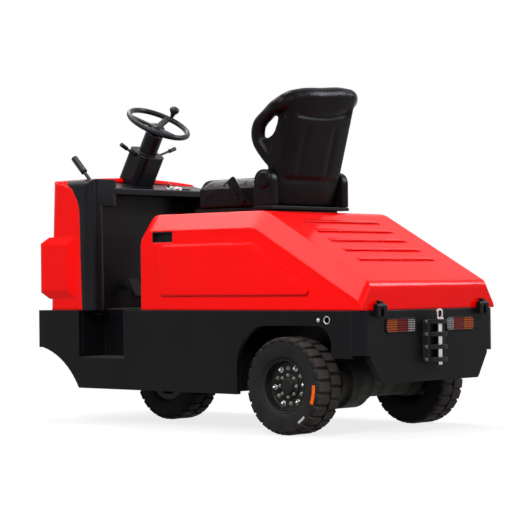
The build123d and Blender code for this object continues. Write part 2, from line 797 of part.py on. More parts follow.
def cowl_form(inset):
    half = cowl_half - inset
    top = cowl_top + cowl_crown
    front_x = bumper_face_x - cowl_top_back - inset
    rear_z = deck_height + cowl_rear_rise
    slope_x = cowl_rear_x + cowl_rear_lean + (top - rear_z) / tan(radians(cowl_rear_angle))
    upper = [
        (cowl_rear_x, deck_height, 0),
        (cowl_rear_x + cowl_rear_lean, rear_z, cowl_rear_corner),
        (slope_x, top, 0),
        (front_x, top, 0),
        (bumper_face_x - cowl_waist_back - inset, deck_height + cowl_waist_rise, 0),
        (bumper_face_x - cowl_foot_back - inset, deck_height, 0),
    ]
    form = side_block(upper, -half, half)
    front_edges = [e for e in form.edges() if e.center().X > front_x and abs(e.center().Y) > half - 1]
    form = fillet(front_edges, cowl_plan_corner - inset)
    roof_r = crown_r - cowl_top_wall * inset / cowl_wall
    form &= Pos(front_x, 0, crown_z) * Rot(0, 90, 0) * Cylinder(roof_r, 2 * cowl_length)
    chamfer = Plane(origin=chamfer_front - chamfer_normal * inset, z_dir=chamfer_normal)
    form = split(form, bisect_by=chamfer, keep=Keep.BOTTOM)
    form = split(mirrored(form), bisect_by=chamfer, keep=Keep.BOTTOM)
    wide = half + nose_proud
    front = bumper_face_x - nose_back - inset
    low_z = deck_height + nose_low_rise
    high_z = deck_height + nose_high_rise
    meet_x = bumper_face_x - cowl_waist_back - inset
    fade_x = bumper_face_x - nose_fade_back
    nose_side = [
        (fade_x, low_z - nose_bevel + inset, 0),
        (fade_x, high_z + nose_shoulder - inset, 0),
        (meet_x, high_z + nose_shoulder - inset, 0),
        (front, high_z - inset / 2, nose_edge),
        (front, low_z + inset / 2, nose_edge),
        (meet_x, low_z - nose_bevel + inset, 0),
    ]
    nose_plan = [
        (fade_x, -half, 0),
        (fade_x + nose_fade_run, -wide, 0),
        (front, -wide, nose_corner),
        (front, wide, nose_corner),
        (fade_x + nose_fade_run, wide, 0),
        (fade_x, half, 0),
    ]
    nose_end = [
        (-half, low_z - nose_bevel, 0),
        (-wide, low_z, 0),
        (-wide, high_z, 0),
        (-half, high_z + nose_shoulder, 0),
        (half, high_z + nose_shoulder, 0),
        (wide, high_z, 0),
        (wide, low_z, 0),
        (half, low_z - nose_bevel, 0),
    ]
    nose = side_block(nose_side, -wide, wide)
    nose &= plan_block(nose_plan, deck_height, top)
    nose &= rear_block(nose_end, fade_x, bumper_face_x)
    return form + nose


cowl_outside = cowl_form(0)
cowl = cowl_outside - cowl_form(cowl_wall)

# Headlamps let into the front of the nose band
nose_face_x = bumper_face_x - nose_back
headlamp_z = deck_height + headlamp_rise


def headlamp(grow, x_low, x_high):
    y_half = headlamp_width / 2 + grow
    z_half = headlamp_height / 2 + grow
    y = (headlamp_y - y_half, headlamp_y + y_half)
    return framed(y, (headlamp_z - z_half, headlamp_z + z_half), lamp_corner + grow, x_low, x_high)


lamp_hole = headlamp(seat_clearance, nose_face_x - headlamp_depth, nose_face_x)
cowl -= lamp_hole
cowl -= mirrored(lamp_hole)
nodes["headlamp_left"] = headlamp(0, nose_face_x - headlamp_depth, nose_face_x + headlamp_proud)
nodes["headlamp_right"] = mirrored(nodes["headlamp_left"])

# Dashboard: rounded pillars, a knee recess with its firewall, a shelf under the sloping instrument panel and
# a raised box for the brake lever, all cut to the rear edge of the cowl
dash_rear_x = cowl_rear_x - dash_overhang
pillar_inner = cowl_half - pillar_width
firewall_x = cowl_rear_x + firewall_ahead
shelf_low = dash_mid_z - dash_shelf
cheek_y = pillar_inner + firewall_thickness
pillar_points = [
    (firewall_x, pillar_inner, 0),
    (firewall_x, cowl_half, 0),
    (dash_rear_x, cowl_half, pillar_round),
    (dash_rear_x, pillar_inner, pillar_round),
]
pillar = plan_block(pillar_points, deck_height, shelf_low)
dash = pillar + mirrored(pillar)
shelf_points = [
    (firewall_x, -cowl_half, 0),
    (firewall_x, cowl_half, 0),
    (dash_rear_x, cowl_half, pillar_round),
    (dash_rear_x, -cowl_half, pillar_round),
]
dash += plan_block(shelf_points, shelf_low, dash_mid_z)
hump_z = cowl_top - hump_drop
hump_y = (cowl_half - hump_width, cowl_half)
panel_outline = [
    (dash_rear_x, shelf_low, 0),
    (dash_rear_x, dash_mid_z, 0),
    (dash_rear_x + panel_length, dash_mid_z + panel_rise, 0),
    (dash_rear_x + panel_length, shelf_low, 0),
]
dash += side_block(panel_outline, -chamfer_y, hump_y[1] - hump_width / 2)
hump_x = (dash_rear_x, dash_rear_x + hump_length)
hump_points = [
    (hump_x[1], hump_y[0], 0),
    (hump_x[1], hump_y[1], hump_front_corner),
    (hump_x[0], hump_y[1], pillar_round),
    (hump_x[0], hump_y[0], hump_corner),
]
hump = plan_block(hump_points, hump_z - hump_height, hump_z)
hump_end = [
    (hump_y[0], hump_z - hump_height, hump_corner / 2),
    (hump_y[0], hump_z, hump_corner),
    (hump_y[1], hump_z, hump_corner),
    (hump_y[1], hump_z - hump_height, 0),
]
dash += hump & rear_block(hump_end, *hump_x)
dash -= cowl_outside
inner_x = (dash_rear_x + pillar_round, firewall_x + firewall_thickness)
firewall_y = (-cheek_y, cheek_y)
dash += slab((firewall_x, inner_x[1]), firewall_y, (deck_height, shelf_low))
cheek = slab(inner_x, (pillar_inner, cheek_y), (deck_height, shelf_low))
dash += cheek + mirrored(cheek)
dash += slab((inner_x[0], cowl_rear_x + dash_shelf_reach), firewall_y, (shelf_low, dash_mid_z))

# Steering column: a leaning cover that stands on the dashboard, with a round neck for the shaft
wheel_x = cowl_rear_x - wheel_behind_cowl
wheel_z = cowl_top + wheel_above_cowl
column_axis = (-sin(radians(column_tilt)), 0, cos(radians(column_tilt)))
wheel_plane = Plane(
    origin=(wheel_x, 0, wheel_z),
    x_dir=(cos(radians(column_tilt)), 0, sin(radians(column_tilt))),
    z_dir=column_axis,
)
column_run = (wheel_z - dash_mid_z) / cos(radians(column_tilt)) + column_depth


def column_block(grow):
    x = column_depth / 2 + grow
    y = column_width / 2 + grow
    corner = column_corner + grow
    points = [(-x, -y, corner), (x, -y, corner), (x, y, corner), (-x, y, corner)]
    block = wheel_plane * plan_block(points, -column_run, -column_top_below)
    keep = slab((dash_rear_x - body_half, bumper_face_x), (-body_half, body_half), (dash_mid_z, wheel_z))
    return block & keep


column = column_block(0)
column += wheel_plane * rod_z(neck_d / 2, 0, 0, -column_top_below, -neck_top_below)
shaft_end = neck_top_below + shaft_depth
shaft_bore_r = steering_shaft_d / 2 + running_clearance
column -= wheel_plane * rod_z(shaft_bore_r, 0, 0, -shaft_end - joint_gap, -neck_top_below)
nodes["column_cover"] = column
nodes["dash_panel"] = dash - column_block(0)
nodes["front_cowl"] = cowl - column_block(column_notch_gap)

# Steering wheel: rim, dished spokes, hub and shaft in one piece, with a spinner knob on the rim
rim_r = (steering_wheel_d - grip_d) / 2
hub_low = neck_top_below - moving_clearance
wheel = revolve(Plane.XZ * Pos(rim_r, 0) * RegularPolygon(grip_d / 2, 8), Axis.Z)
wheel += rod_z(wheel_hub_d / 2, 0, 0, -hub_low, -wheel_hub_top_below)
wheel += rod_z(steering_shaft_d / 2, 0, 0, -shaft_end, -hub_low)
spoke_angle = degrees(asin(wheel_dish / rim_r))
spoke = Pos(rim_r / 2, 0, -wheel_dish / 2) * Rot(0, -spoke_angle, 0) * Box(rim_r, spoke_width, spoke_thickness)
for i in range(spoke_count):
    wheel += Rot(0, 0, 180 + i * 360 / spoke_count) * spoke
knob_place = Rot(0, 0, -knob_angle) * Pos(rim_r, 0, 0)
stem_top = (grip_d + knob_stem_d) / 2
stem = knob_place * rod_z(knob_stem_d / 2, 0, 0, 0, stem_top)
nodes["steering_wheel"] = wheel_plane * (wheel + stem)
knob = Pos(0, 0, stem_top) * extrude(RegularPolygon(knob_d / 2, knob_sides), knob_d)
knob_rims = knob.faces().sort_by(Axis.Z)[0].edges() + knob.faces().sort_by(Axis.Z)[-1].edges()
knob = chamfer(knob_rims, knob_d / 5)
nodes["spinner_knob"] = wheel_plane * knob_place * knob


# Direction and lamp stalks on the two sides of the column
def make_stalk(side, length, rise):
    root = wheel_plane * Pos(0, side * column_width / 2, -stalk_below)
    start = root.position
    direction = (0, side * cos(radians(rise)), sin(radians(rise)))
    stalk = rod_along(stalk_d / 2, start, direction, length)
    tip = start + Vector(*direction) * (length - stalk_tip_length)
    stalk += rod_along(stalk_tip_d / 2, tip, direction, stalk_tip_length)
    return stalk - nodes["column_cover"]


nodes["direction_stalk"] = make_stalk(1, left_stalk_length, left_stalk_rise)
nodes["lamp_stalk"] = make_stalk(-1, right_stalk_length, right_stalk_rise)

# Parking brake lever on the raised box
lever_axis = (sin(radians(brake_lever_lean)), 0, cos(radians(brake_lever_lean)))
lever_root_x = cowl_rear_x - brake_lever_behind - hump_corner * tan(radians(brake_lever_lean))
lever_start = Vector(lever_root_x, cowl_half - brake_lever_inset, hump_z - hump_corner)
lever_mid = lever_start + Vector(*lever_axis) * brake_rod_length
lever = rod_along(brake_rod_d / 2, lever_start, lever_axis, brake_rod_length)
lever += rod_along(brake_grip_d / 2, lever_mid, lever_axis, brake_grip_length)
nodes["brake_lever"] = lever - nodes["dash_panel"] - nodes["front_cowl"]


# Brake and drive pedals: a tilted pad on a stem from the firewall
def make_pedal(y):
    pad_x = firewall_x - pedal_reach
    pad_z = deck_height + pedal_rise
    pad = Pos(pad_x, y, pad_z) * Rot(0, pedal_tilt, 0) * Box(pedal_thickness, pedal_width, pedal_height)
    stem_half = pedal_stem / 2
    stem = slab((pad_x, firewall_x), (y - stem_half, y + stem_half), (pad_z - stem_half, pad_z + stem_half))
    return pad + stem


nodes["pedals"] = [make_pedal(brake_pedal_y), make_pedal(drive_pedal_y)]

# Tow coupling: a ladder of rounded shelves between two cheeks, with a drop pin
hitch_top = deck_height - hitch_drop
hitch_low = hitch_top - (hitch_shelf_count - 1) * hitch_shelf_pitch - hitch_shelf
hitch_pin_x = rear_face_x - hitch_pin_behind
shelf_plan = [
    (rear_face_x, -hitch_half, 0),
    (rear_face_x, hitch_half, 0),
    (hitch_end_x, hitch_half, hitch_corner),
    (hitch_end_x, -hitch_half, hitch_corner),
]
cheek_x = (rear_face_x - hitch_cheek_reach, rear_face_x)
hitch = slab(cheek_x, (hitch_half, hitch_half + hitch_cheek), (hitch_low, hitch_top))
hitch += mirrored(hitch)
for i in range(hitch_shelf_count):
    shelf_top = hitch_top - i * hitch_shelf_pitch
    hitch += plan_block(shelf_plan, shelf_top - hitch_shelf, shelf_top)
hitch -= rod_z(hitch_pin_d / 2 + hitch_pin_play, hitch_pin_x, 0, hitch_low, hitch_top)
nodes["tow_hitch"] = hitch
pin = rod_z(hitch_pin_d / 2, hitch_pin_x, 0, hitch_low - hitch_pin_tip, hitch_top + hitch_collar)
pin += rod_z(hitch_collar_d / 2, hitch_pin_x, 0, hitch_top, hitch_top + hitch_collar)
loop_z = hitch_top + hitch_collar - hitch_loop_wire / 2
loop_half = (hitch_loop_width - hitch_loop_wire) / 2
loop_high = loop_z + hitch_loop_height - hitch_loop_wire / 2
loop_corner = 0.9 * loop_half
ring_grow = hitch_loop_wire / 2
ring_outer = framed(
    (-loop_half - ring_grow, loop_half + ring_grow),
    (loop_z, loop_high + ring_grow),
    loop_corner,
    hitch_pin_x - ring_grow,
    hitch_pin_x + ring_grow,
)
ring_inner = framed(
    (-loop_half + ring_grow, loop_half - ring_grow),
    (hitch_top + hitch_collar, loop_high - ring_grow),
    loop_corner / 2,
    hitch_pin_x - hitch_loop_wire,
    hitch_pin_x + hitch_loop_wire,
)
nodes["hitch_pin"] = pin + (ring_outer - ring_inner)

# Seat: adjuster base, cushion, reclined back with a top roll and grab wings, and hip restraints
base_front = hood_front_x - seat_base_front_gap
base_x = (base_front - seat_base_length, base_front)
base_top = hood_top + seat_base_height
base_side = [
    (base_x[0], hood_top, 0),
    (base_x[1], hood_top, 0),
    (base_x[1], base_top, seat_base_corner),
    (base_x[0] + seat_base_corner, base_top, 0),
]
hip_rear = hood_front_x - hip_rear_gap
hip_x = (hip_rear, hip_rear + hip_length)
hip_outer = hip_half + hip_thickness
base = side_block(base_side, -seat_base_half, seat_base_half)
base += slab(hip_x, (-hip_outer, hip_outer), (base_top - hip_ear, base_top))
nodes["seat_base"] = base
cushion_front = hood_front_x - cushion_front_gap
cushion = slab(
    (cushion_front - cushion_length, cushion_front),
    (-cushion_half, cushion_half),
    (base_top, base_top + cushion_height),
)
upper_edges = [e for e in cushion.edges() if e.center().Z > base_top + 1]
nodes["seat_cushion"] = chamfer(upper_edges, cushion_corner)
lean = radians(back_lean)
back_plane = Plane(
    origin=(hood_front_x - back_foot_gap, 0, base_top + seat_clearance),
    x_dir=(0, 1, 0),
    z_dir=(cos(lean), 0, sin(lean)),
)
foot_half = hip_half - back_foot_room
foot_drop = back_thickness * tan(lean)
back_face = make_face(outline([
    (-back_half_foot, back_foot_height / 2, 0),
    (back_half_foot, back_foot_height / 2, 0),
    (back_half_top, back_height, back_corner),
    (-back_half_top, back_height, back_corner),
]))
back = extrude(back_face, back_thickness, dir=(0, 0, 1))
foot_face = make_face(outline([
    (-foot_half, -foot_drop, 0),
    (foot_half, -foot_drop, 0),
    (foot_half, back_foot_height, back_corner),
    (-foot_half, back_foot_height, back_corner),
]))
back += extrude(foot_face, back_thickness - back_foot_room, dir=(0, 0, 1))
roll_v = back_height - roll_d / 6
roll_end = roll_v - roll_droop
roll_path = FilletPolyline(
    (-wing_half, roll_end, roll_d / 2),
    (-roll_flat, roll_v, roll_d / 2),
    (roll_flat, roll_v, roll_d / 2),
    (wing_half, roll_end, roll_d / 2),
    radius=roll_bend,
)
roll_at = Plane(origin=roll_path @ 0, z_dir=roll_path % 0)
back += sweep(roll_at * RegularPolygon(roll_d / 2, 12), path=roll_path)
wing_brow = wing_brow_share * back_height
wing_shoulder = wing_shoulder_share * back_height
wing_low = wing_low_share * back_height
wing_foot = wing_foot_share * back_height
wing_web_top = wing_web_share * back_height
wing_path = FilletPolyline(
    (wing_half, roll_end, roll_d / 5),
    (wing_half, roll_end, roll_d / 2),
    (wing_half, roll_end - wing_brow, wing_brow_reach),
    (wing_half, roll_end - wing_shoulder, wing_reach),
    (wing_half, wing_low, wing_reach),
    (wing_half, wing_foot, roll_d / 2),
    radius=wing_bend,
)
wing_at = Plane(origin=wing_path @ 0, z_dir=wing_path % 0)
wing = sweep(wing_at * RegularPolygon(wing_d / 2, 12), path=wing_path)
web_outline = [
    (wing_foot, 0, 0),
    (wing_foot, roll_d / 2, 0),
    (wing_low, wing_reach, 0),
    (wing_web_top, wing_reach, 0),
    (wing_web_top, 0, 0),
]
web_plane = Plane(origin=(wing_half - wing_web / 2, 0, 0), x_dir=(0, 1, 0), z_dir=(1, 0, 0))
wing += web_plane * extrude(make_face(outline(web_outline)), wing_web, dir=(0, 0, 1))
bridge_x = (back_half_foot - back_corner, wing_half)
wing += slab(bridge_x, (wing_foot, wing_web_top), (0, wing_web))
wing = Pos(wing_half, roll_end, 0) * Rot(0, 0, -wing_tuck) * Pos(-wing_half, -roll_end, 0) * wing
back += wing
back += mirror(wing, Plane.YZ)
back = back_plane * back
seat_floor = base_top + seat_clearance
back = back - slab(base_x, (-hip_half, hip_half), (hood_top, seat_floor))
nodes["seat_back"] = back
hip_side = [
    (hip_x[0], base_top, 0),
    (hip_x[1], base_top, 0),
    (hip_x[1], base_top + hip_height, hip_corner),
    (hip_x[0], base_top + hip_height, hip_corner),
]
nodes["hip_restraint_left"] = side_block(hip_side, hip_half, hip_outer)
nodes["hip_restraint_right"] = mirrored(nodes["hip_restraint_left"])

os.makedirs("parts", exist_ok=True)
for name, shape in nodes.items():
    solids = shape if isinstance(shape, list) else [shape]
    kept = [solid for piece in solids for solid in piece.solids()]
    export_step(kept[0] if len(kept) == 1 else Compound(children=kept), f"parts/{name}.step")
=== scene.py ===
import math
from math import cos, pi, radians, sin

import bmesh
import bpy
from mathutils import Matrix, Vector


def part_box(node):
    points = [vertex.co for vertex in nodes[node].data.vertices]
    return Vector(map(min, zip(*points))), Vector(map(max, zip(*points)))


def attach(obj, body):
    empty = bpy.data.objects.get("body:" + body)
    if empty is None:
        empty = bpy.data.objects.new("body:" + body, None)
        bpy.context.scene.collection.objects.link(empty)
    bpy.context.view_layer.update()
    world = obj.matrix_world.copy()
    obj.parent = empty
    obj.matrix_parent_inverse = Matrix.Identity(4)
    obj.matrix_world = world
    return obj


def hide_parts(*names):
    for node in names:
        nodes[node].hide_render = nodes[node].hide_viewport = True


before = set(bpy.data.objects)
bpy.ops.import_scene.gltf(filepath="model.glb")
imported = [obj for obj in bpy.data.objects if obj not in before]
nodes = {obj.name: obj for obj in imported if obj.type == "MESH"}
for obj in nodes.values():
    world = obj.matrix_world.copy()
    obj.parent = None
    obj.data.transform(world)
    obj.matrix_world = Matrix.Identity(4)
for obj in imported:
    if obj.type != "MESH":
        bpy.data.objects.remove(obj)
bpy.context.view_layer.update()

# Tyres: solid black rubber on three wheels, moulded in one piece with rounded sidewalls.
# Staggered lugs cross the tread from each side and wrap over the shoulders.
# The rubber is coloured a lighter grey on the tread faces than on the sidewalls.


def add_node(tree, kind, inputs=(), **settings):
    """A shader node with its settings and the inputs that are plain values or links."""
    made = tree.nodes.new(kind)
    for name, value in settings.items():
        setattr(made, name, value)
    for name, value in dict(inputs).items():
        if isinstance(value, bpy.types.NodeSocket):
            tree.links.new(value, made.inputs[name])
        else:
            made.inputs[name].default_value = value
    return made


def maths(tree, operation, *values, clamp=False):
    """The outcome of one sum on plain values or links."""
    made = add_node(tree, "ShaderNodeMath", enumerate(values), operation=operation, use_clamp=clamp)
    return made.outputs[0]


def mixed(tree, share, first, second):
    """A colour between two others, by a share from 0 to 1."""
    made = add_node(tree, "ShaderNodeMixRGB", {"Fac": share, "Color1": first, "Color2": second})
    return made.outputs["Color"]


def spread(tree, value, start, end, low=0.0, high=1.0):
    """A value whose run from start to end becomes a run from low to high."""
    ends = {"From Min": start, "From Max": end, "To Min": low, "To Max": high}
    return add_node(tree, "ShaderNodeMapRange", {"Value": value, **ends}).outputs["Result"]


def cloudy(tree, spot, scale, detail):
    """Soft noise over the surface."""
    inputs = {"Vector": spot, "Scale": scale, "Detail": detail}
    return add_node(tree, "ShaderNodeTexNoise", inputs).outputs["Fac"]


def new_group(name, takes, gives):
    """A shader node group with named inputs and outputs, and its two end nodes."""
    tree = bpy.data.node_groups.new(name, "ShaderNodeTree")
    for way, sockets in (("INPUT", takes), ("OUTPUT", gives)):
        for socket, kind in sockets.items():
            tree.interface.new_socket(socket, in_out=way, socket_type="NodeSocket" + kind)
    return tree, tree.nodes.new("NodeGroupInput"), tree.nodes.new("NodeGroupOutput")


weathering, group_in, group_out = new_group(
    "weathering",
    {
        "Colour": "Color",
        "Shade": "Color",
        "Dust": "Color",
        "Patch Scale": "Float",
        "Grain Scale": "Float",
        "Smoothest": "Float",
        "Roughest": "Float",
        "Dust Height": "Float",
        "Dust Amount": "Float",
    },
    {"Colour": "Color", "Roughness": "Float", "Height": "Float"},
)
given = group_in.outputs
spot = add_node(weathering, "ShaderNodeTexCoord").outputs["Object"]
patches = cloudy(weathering, spot, given["Patch Scale"], 5.0)
grain = cloudy(weathering, spot, given["Grain Scale"], 2.0)
height = add_node(weathering, "ShaderNodeSeparateXYZ", {"Vector": spot}).outputs["Z"]
low_down = spread(weathering, height, 0.0, given["Dust Height"], 1.0, 0.0)
dust_patch = maths(weathering, "MULTIPLY", low_down, patches)
dust = maths(weathering, "MULTIPLY", dust_patch, given["Dust Amount"], clamp=True)
patch_mask = spread(weathering, patches, 0.32, 0.68)
toned = mixed(weathering, patch_mask, given["Colour"], given["Shade"])
dusted = mixed(weathering, dust, toned, given["Dust"])
sheen_patch = spread(weathering, patches, 0.25, 0.75, given["Smoothest"], given["Roughest"])
dull = maths(weathering, "ADD", sheen_patch, dust, clamp=True)
weathering.links.new(dusted, group_out.inputs["Colour"])
weathering.links.new(dull, group_out.inputs["Roughness"])
weathering.links.new(grain, group_out.inputs["Height"])

soft_edges, group_in, group_out = new_group(
    "soft_edges", {"Radius": "Float"}, {"Normal": "Vector", "Edge": "Float"}
)
rounded = add_node(soft_edges, "ShaderNodeBevel", {"Radius": group_in.outputs["Radius"]}, samples=6)
flat = add_node(soft_edges, "ShaderNodeNewGeometry")
agreement = add_node(
    soft_edges,
    "ShaderNodeVectorMath",
    {0: rounded.outputs["Normal"], 1: flat.outputs["Normal"]},
    operation="DOT_PRODUCT",
)
edge = spread(soft_edges, agreement.outputs["Value"], 0.99, 0.8)
soft_edges.links.new(rounded.outputs["Normal"], group_out.inputs["Normal"])
soft_edges.links.new(edge, group_out.inputs["Edge"])


def new_material(name):
    """A material with its node tree and its shader."""
    material = bpy.data.materials.new(name)
    material.use_nodes = True
    return material, material.node_tree, material.node_tree.nodes["Principled BSDF"]


def make_finish(
    name,
    colour,
    shade,
    dust=(0.2, 0.18, 0.16),
    patch=6.0,
    grain=400.0,
    sheen=(0.4, 0.55),
    dust_height=0.6,
    dust_amount=0.0,
    bump=0.0004,
    edge_radius=0.003,
    metallic=0.0,
    specular=0.3,
    coat=0.0,
    edge_wear_and_highlight=None,
):
    """A weathered finish with its own colours, grain and edge radius; a given edge colour is painted along
    the edges, as rubbed paint on some finishes and as a painted highlight on others.
    """
    material, tree, shader = new_material(name)
    looks = {
        "Colour": (*colour, 1.0),
        "Shade": (*shade, 1.0),
        "Dust": (*dust, 1.0),
        "Patch Scale": patch,
        "Grain Scale": grain,
        "Smoothest": sheen[0],
        "Roughest": sheen[1],
        "Dust Height": dust_height,
        "Dust Amount": dust_amount,
    }
    surface = add_node(tree, "ShaderNodeGroup", looks, node_tree=weathering).outputs
    edges = add_node(tree, "ShaderNodeGroup", {"Radius": edge_radius}, node_tree=soft_edges).outputs
    ripple = add_node(
        tree,
        "ShaderNodeBump",
        {"Height": surface["Height"], "Normal": edges["Normal"], "Strength": 1.0, "Distance": bump},
    )
    base = surface["Colour"]
    if edge_wear_and_highlight is not None:
        base = mixed(tree, edges["Edge"], base, (*edge_wear_and_highlight, 1.0))
    tree.links.new(base, shader.inputs["Base Color"])
    tree.links.new(surface["Roughness"], shader.inputs["Roughness"])
    tree.links.new(ripple.outputs["Normal"], shader.inputs["Normal"])
    shader.inputs["Metallic"].default_value = metallic
    shader.inputs["Specular IOR Level"].default_value = specular
    shader.inputs["Coat Weight"].default_value = coat
    shader.inputs["Coat Roughness"].default_value = 0.12
    return material


def paint(names, material):
    """Gives CAD nodes their finish."""
    for name in names:
        nodes[name].data.materials.clear()
        nodes[name].data.materials.append(material)


def shift(shape, vec):
    """Moves a whole shape."""
    bmesh.ops.translate(shape, verts=shape.verts, vec=vec)


def round_off(shape, geom, radius, segments=2, affect="EDGES"):
    """Rounds edges or corners of a shape."""
    bmesh.ops.bevel(
        shape, geom=geom, offset=radius, affect=affect, segments=segments, profile=0.5, material=-1
    )


def gather(shapes):
    """Several bmeshes joined into one."""
    whole = bmesh.new()
    for shape in shapes:
        lump = bpy.data.meshes.new("lump")
        shape.to_mesh(lump)
        shape.free()
        whole.from_mesh(lump)
        bpy.data.meshes.remove(lump)
    return whole


crisp_angle = radians(38)


def make_piece(name, shape, material, body):
    """A finished piece from a bmesh, riding on its body."""
    mesh = bpy.data.meshes.new(name)
    bmesh.ops.remove_doubles(shape, verts=shape.verts, dist=1e-6)
    bmesh.ops.recalc_face_normals(shape, faces=shape.faces)
    for face in shape.faces:
        face.smooth = True
    for line in shape.edges:
        if len(line.link_faces) == 2 and line.calc_face_angle() > crisp_angle:
            line.smooth = False
    shape.to_mesh(mesh)
    shape.free()
    mesh.materials.append(material)
    made = bpy.data.objects.new(name, mesh)
    bpy.context.scene.collection.objects.link(made)
    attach(made, body)
    return made


def spun_profile(points):
    """A closed ring about the Y axis from (radius, y) points."""
    shape = bmesh.new()
    corners = [shape.verts.new((r, y, 0)) for r, y in points]
    lines = [shape.edges.new((a, b)) for a, b in zip(corners, corners[1:] + corners[:1])]
    bmesh.ops.spin(
        shape, geom=corners + lines, cent=(0, 0, 0), axis=(0, 1, 0), angle=2 * pi, steps=96, use_merge=True
    )
    return shape


def grow(shape, ring, vec):
    """Closes a ring of points with a face and draws it out into a solid."""
    grown = bmesh.ops.extrude_face_region(shape, geom=[shape.faces.new(ring)])
    moved = [v for v in grown["geom"] if isinstance(v, bmesh.types.BMVert)]
    bmesh.ops.translate(shape, verts=moved, vec=vec)


tyre_rubber = make_finish(
    "tyre_rubber",
    colour=(0.010, 0.0095, 0.010),
    shade=(0.016, 0.015, 0.015),
    dust=(0.085, 0.078, 0.072),
    patch=9.0,
    grain=260.0,
    sheen=(0.55, 0.8),
    dust_height=0.55,
    dust_amount=0.16,
    bump=0.0006,
    specular=0.06,
)
# The faces that point out from the axle are coloured a lighter grey than the sidewalls.
tread_grey = (0.062, 0.053, 0.050, 1.0)
tyre_tree = tyre_rubber.node_tree
tyre_base = tyre_tree.nodes["Principled BSDF"].inputs["Base Color"]
facing = add_node(tyre_tree, "ShaderNodeNewGeometry").outputs["Normal"]
facing_axes = add_node(tyre_tree, "ShaderNodeSeparateXYZ", {"Vector": facing})
sideways = maths(tyre_tree, "ABSOLUTE", facing_axes.outputs["Y"])
tread_share = spread(tyre_tree, sideways, 0.2, 0.7, 0.75, 0.0)
tread_colour = mixed(tyre_tree, tread_share, tyre_base.links[0].from_socket, tread_grey)
tyre_tree.links.new(tread_colour, tyre_base)
tyre_radius = 0.225
tyre_half = 0.085
tyre_wall = [
    (0.1185, 0.0600),
    (0.1240, 0.0625),
    (0.1258, 0.0690),
    (0.1310, 0.0765),
    (0.1420, 0.0815),
    (0.1580, 0.0834),
    (0.1780, 0.0840),
    (0.1980, 0.0838),
    (0.2070, 0.0812),
    (0.2105, 0.0740),
    (0.2110, 0.0560),
]
lug_gap = 0.004
lug_outline = [
    (0.2000, lug_gap),
    (0.2238, lug_gap),
    (0.2242, 0.0560),
    (0.2225, 0.0700),
    (0.2170, 0.0800),
    (0.2100, 0.0847),
    (0.2050, tyre_half),
    (0.2010, 0.0800),
]
lug_count = 24
lug_half_length = 0.0215
lug_rounding = 0.003


def make_tyre(name, x, y, body, node):
    """A tyre about its axle: a spun section with two staggered rows of lugs."""
    far_wall = [(r, -across) for r, across in reversed(tyre_wall)]
    pieces = [spun_profile(tyre_wall + far_wall)]
    for side, stagger in ((1, 0.0), (-1, 0.5)):
        for i in range(lug_count):
            lug = bmesh.new()
            ring = [lug.verts.new((r, side * across, -lug_half_length)) for r, across in lug_outline]
            grow(lug, ring, (0, 0, 2 * lug_half_length))
            bmesh.ops.recalc_face_normals(lug, faces=lug.faces)
            round_off(lug, lug.edges, lug_rounding, 1)
            turn = (i + stagger) * 2 * pi / lug_count
            bmesh.ops.rotate(lug, verts=lug.verts, matrix=Matrix.Rotation(turn, 3, "Y"))
            pieces.append(lug)
    shape = gather(pieces)
    shift(shape, (x, y, tyre_radius))
    made = make_piece(name, shape, tyre_rubber, body)
    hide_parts(node)


rear_axle_x = -0.604
front_axle_x = 0.607
wheel_y = 0.4585
make_tyre("rubber_rear_left", rear_axle_x, wheel_y, "rear_wheel_left", "rear_tyre_left")
make_tyre("rubber_rear_right", rear_axle_x, -wheel_y, "rear_wheel_right", "rear_tyre_right")
make_tyre("rubber_front", front_axle_x, 0.0, "front_wheel", "front_tyre")

# Wheels: pressed steel discs, sprayed satin black, with a machined hub.
# Bright nuts alternate with smaller dull studs round the disc of each rear wheel.
# The lighter edge colour is a painted highlight along the rims' flanges and steps.
rim_black = make_finish(
    "rim_black_paint",
    colour=(0.0050, 0.0048, 0.0052),
    shade=(0.0075, 0.0070, 0.0072),
    dust=(0.10, 0.09, 0.08),
    patch=14.0,
    grain=500.0,
    sheen=(0.28, 0.45),
    dust_height=0.5,
    dust_amount=0.06,
    bump=0.0002,
    edge_radius=0.0015,
    specular=0.10,
    coat=0.06,
    edge_wear_and_highlight=(0.07, 0.07, 0.078),
)
rim_flange = [
    (0.1180, 0.0560),
    (0.1245, 0.0610),
    (0.1250, 0.0680),
    (0.1220, 0.0715),
    (0.1175, 0.0690),
    (0.1140, 0.0600),
]
rim_dish = [
    (0.1135, 0.0440),
    (0.1108, 0.0405),
    (0.1100, 0.0350),
    (0.1075, 0.0310),
    (0.1030, 0.0290),
    (0.0680, 0.0282),
    (0.0630, 0.0300),
    (0.0600, 0.0370),
    (0.0570, 0.0395),
    (0.0420, 0.0400),
    (0.0395, 0.0420),
    (0.0380, 0.0480),
    (0.0340, 0.0520),
    (0.0200, 0.0540),
    (0.0000, 0.0545),
]
rim_back = [(0.0, -0.040), (0.045, -0.040), (0.047, 0.010), (0.100, 0.014), (0.108, -0.030)]


def stretch(shape, vec):
    """Scales a whole shape about the origin."""
    bmesh.ops.scale(shape, verts=shape.verts, vec=vec)


def make_rim(name, x, y, side, body, node):
    """A wheel disc dished towards its outer side, with a flange on each edge."""
    far_flange = [(r, -across) for r, across in reversed(rim_flange)]
    shape = spun_profile(rim_flange + rim_dish + rim_back + far_flange)
    stretch(shape, (1, side, 1))
    shift(shape, (x, y, tyre_radius))
    made = make_piece(name, shape, rim_black, body)
    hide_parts(node)


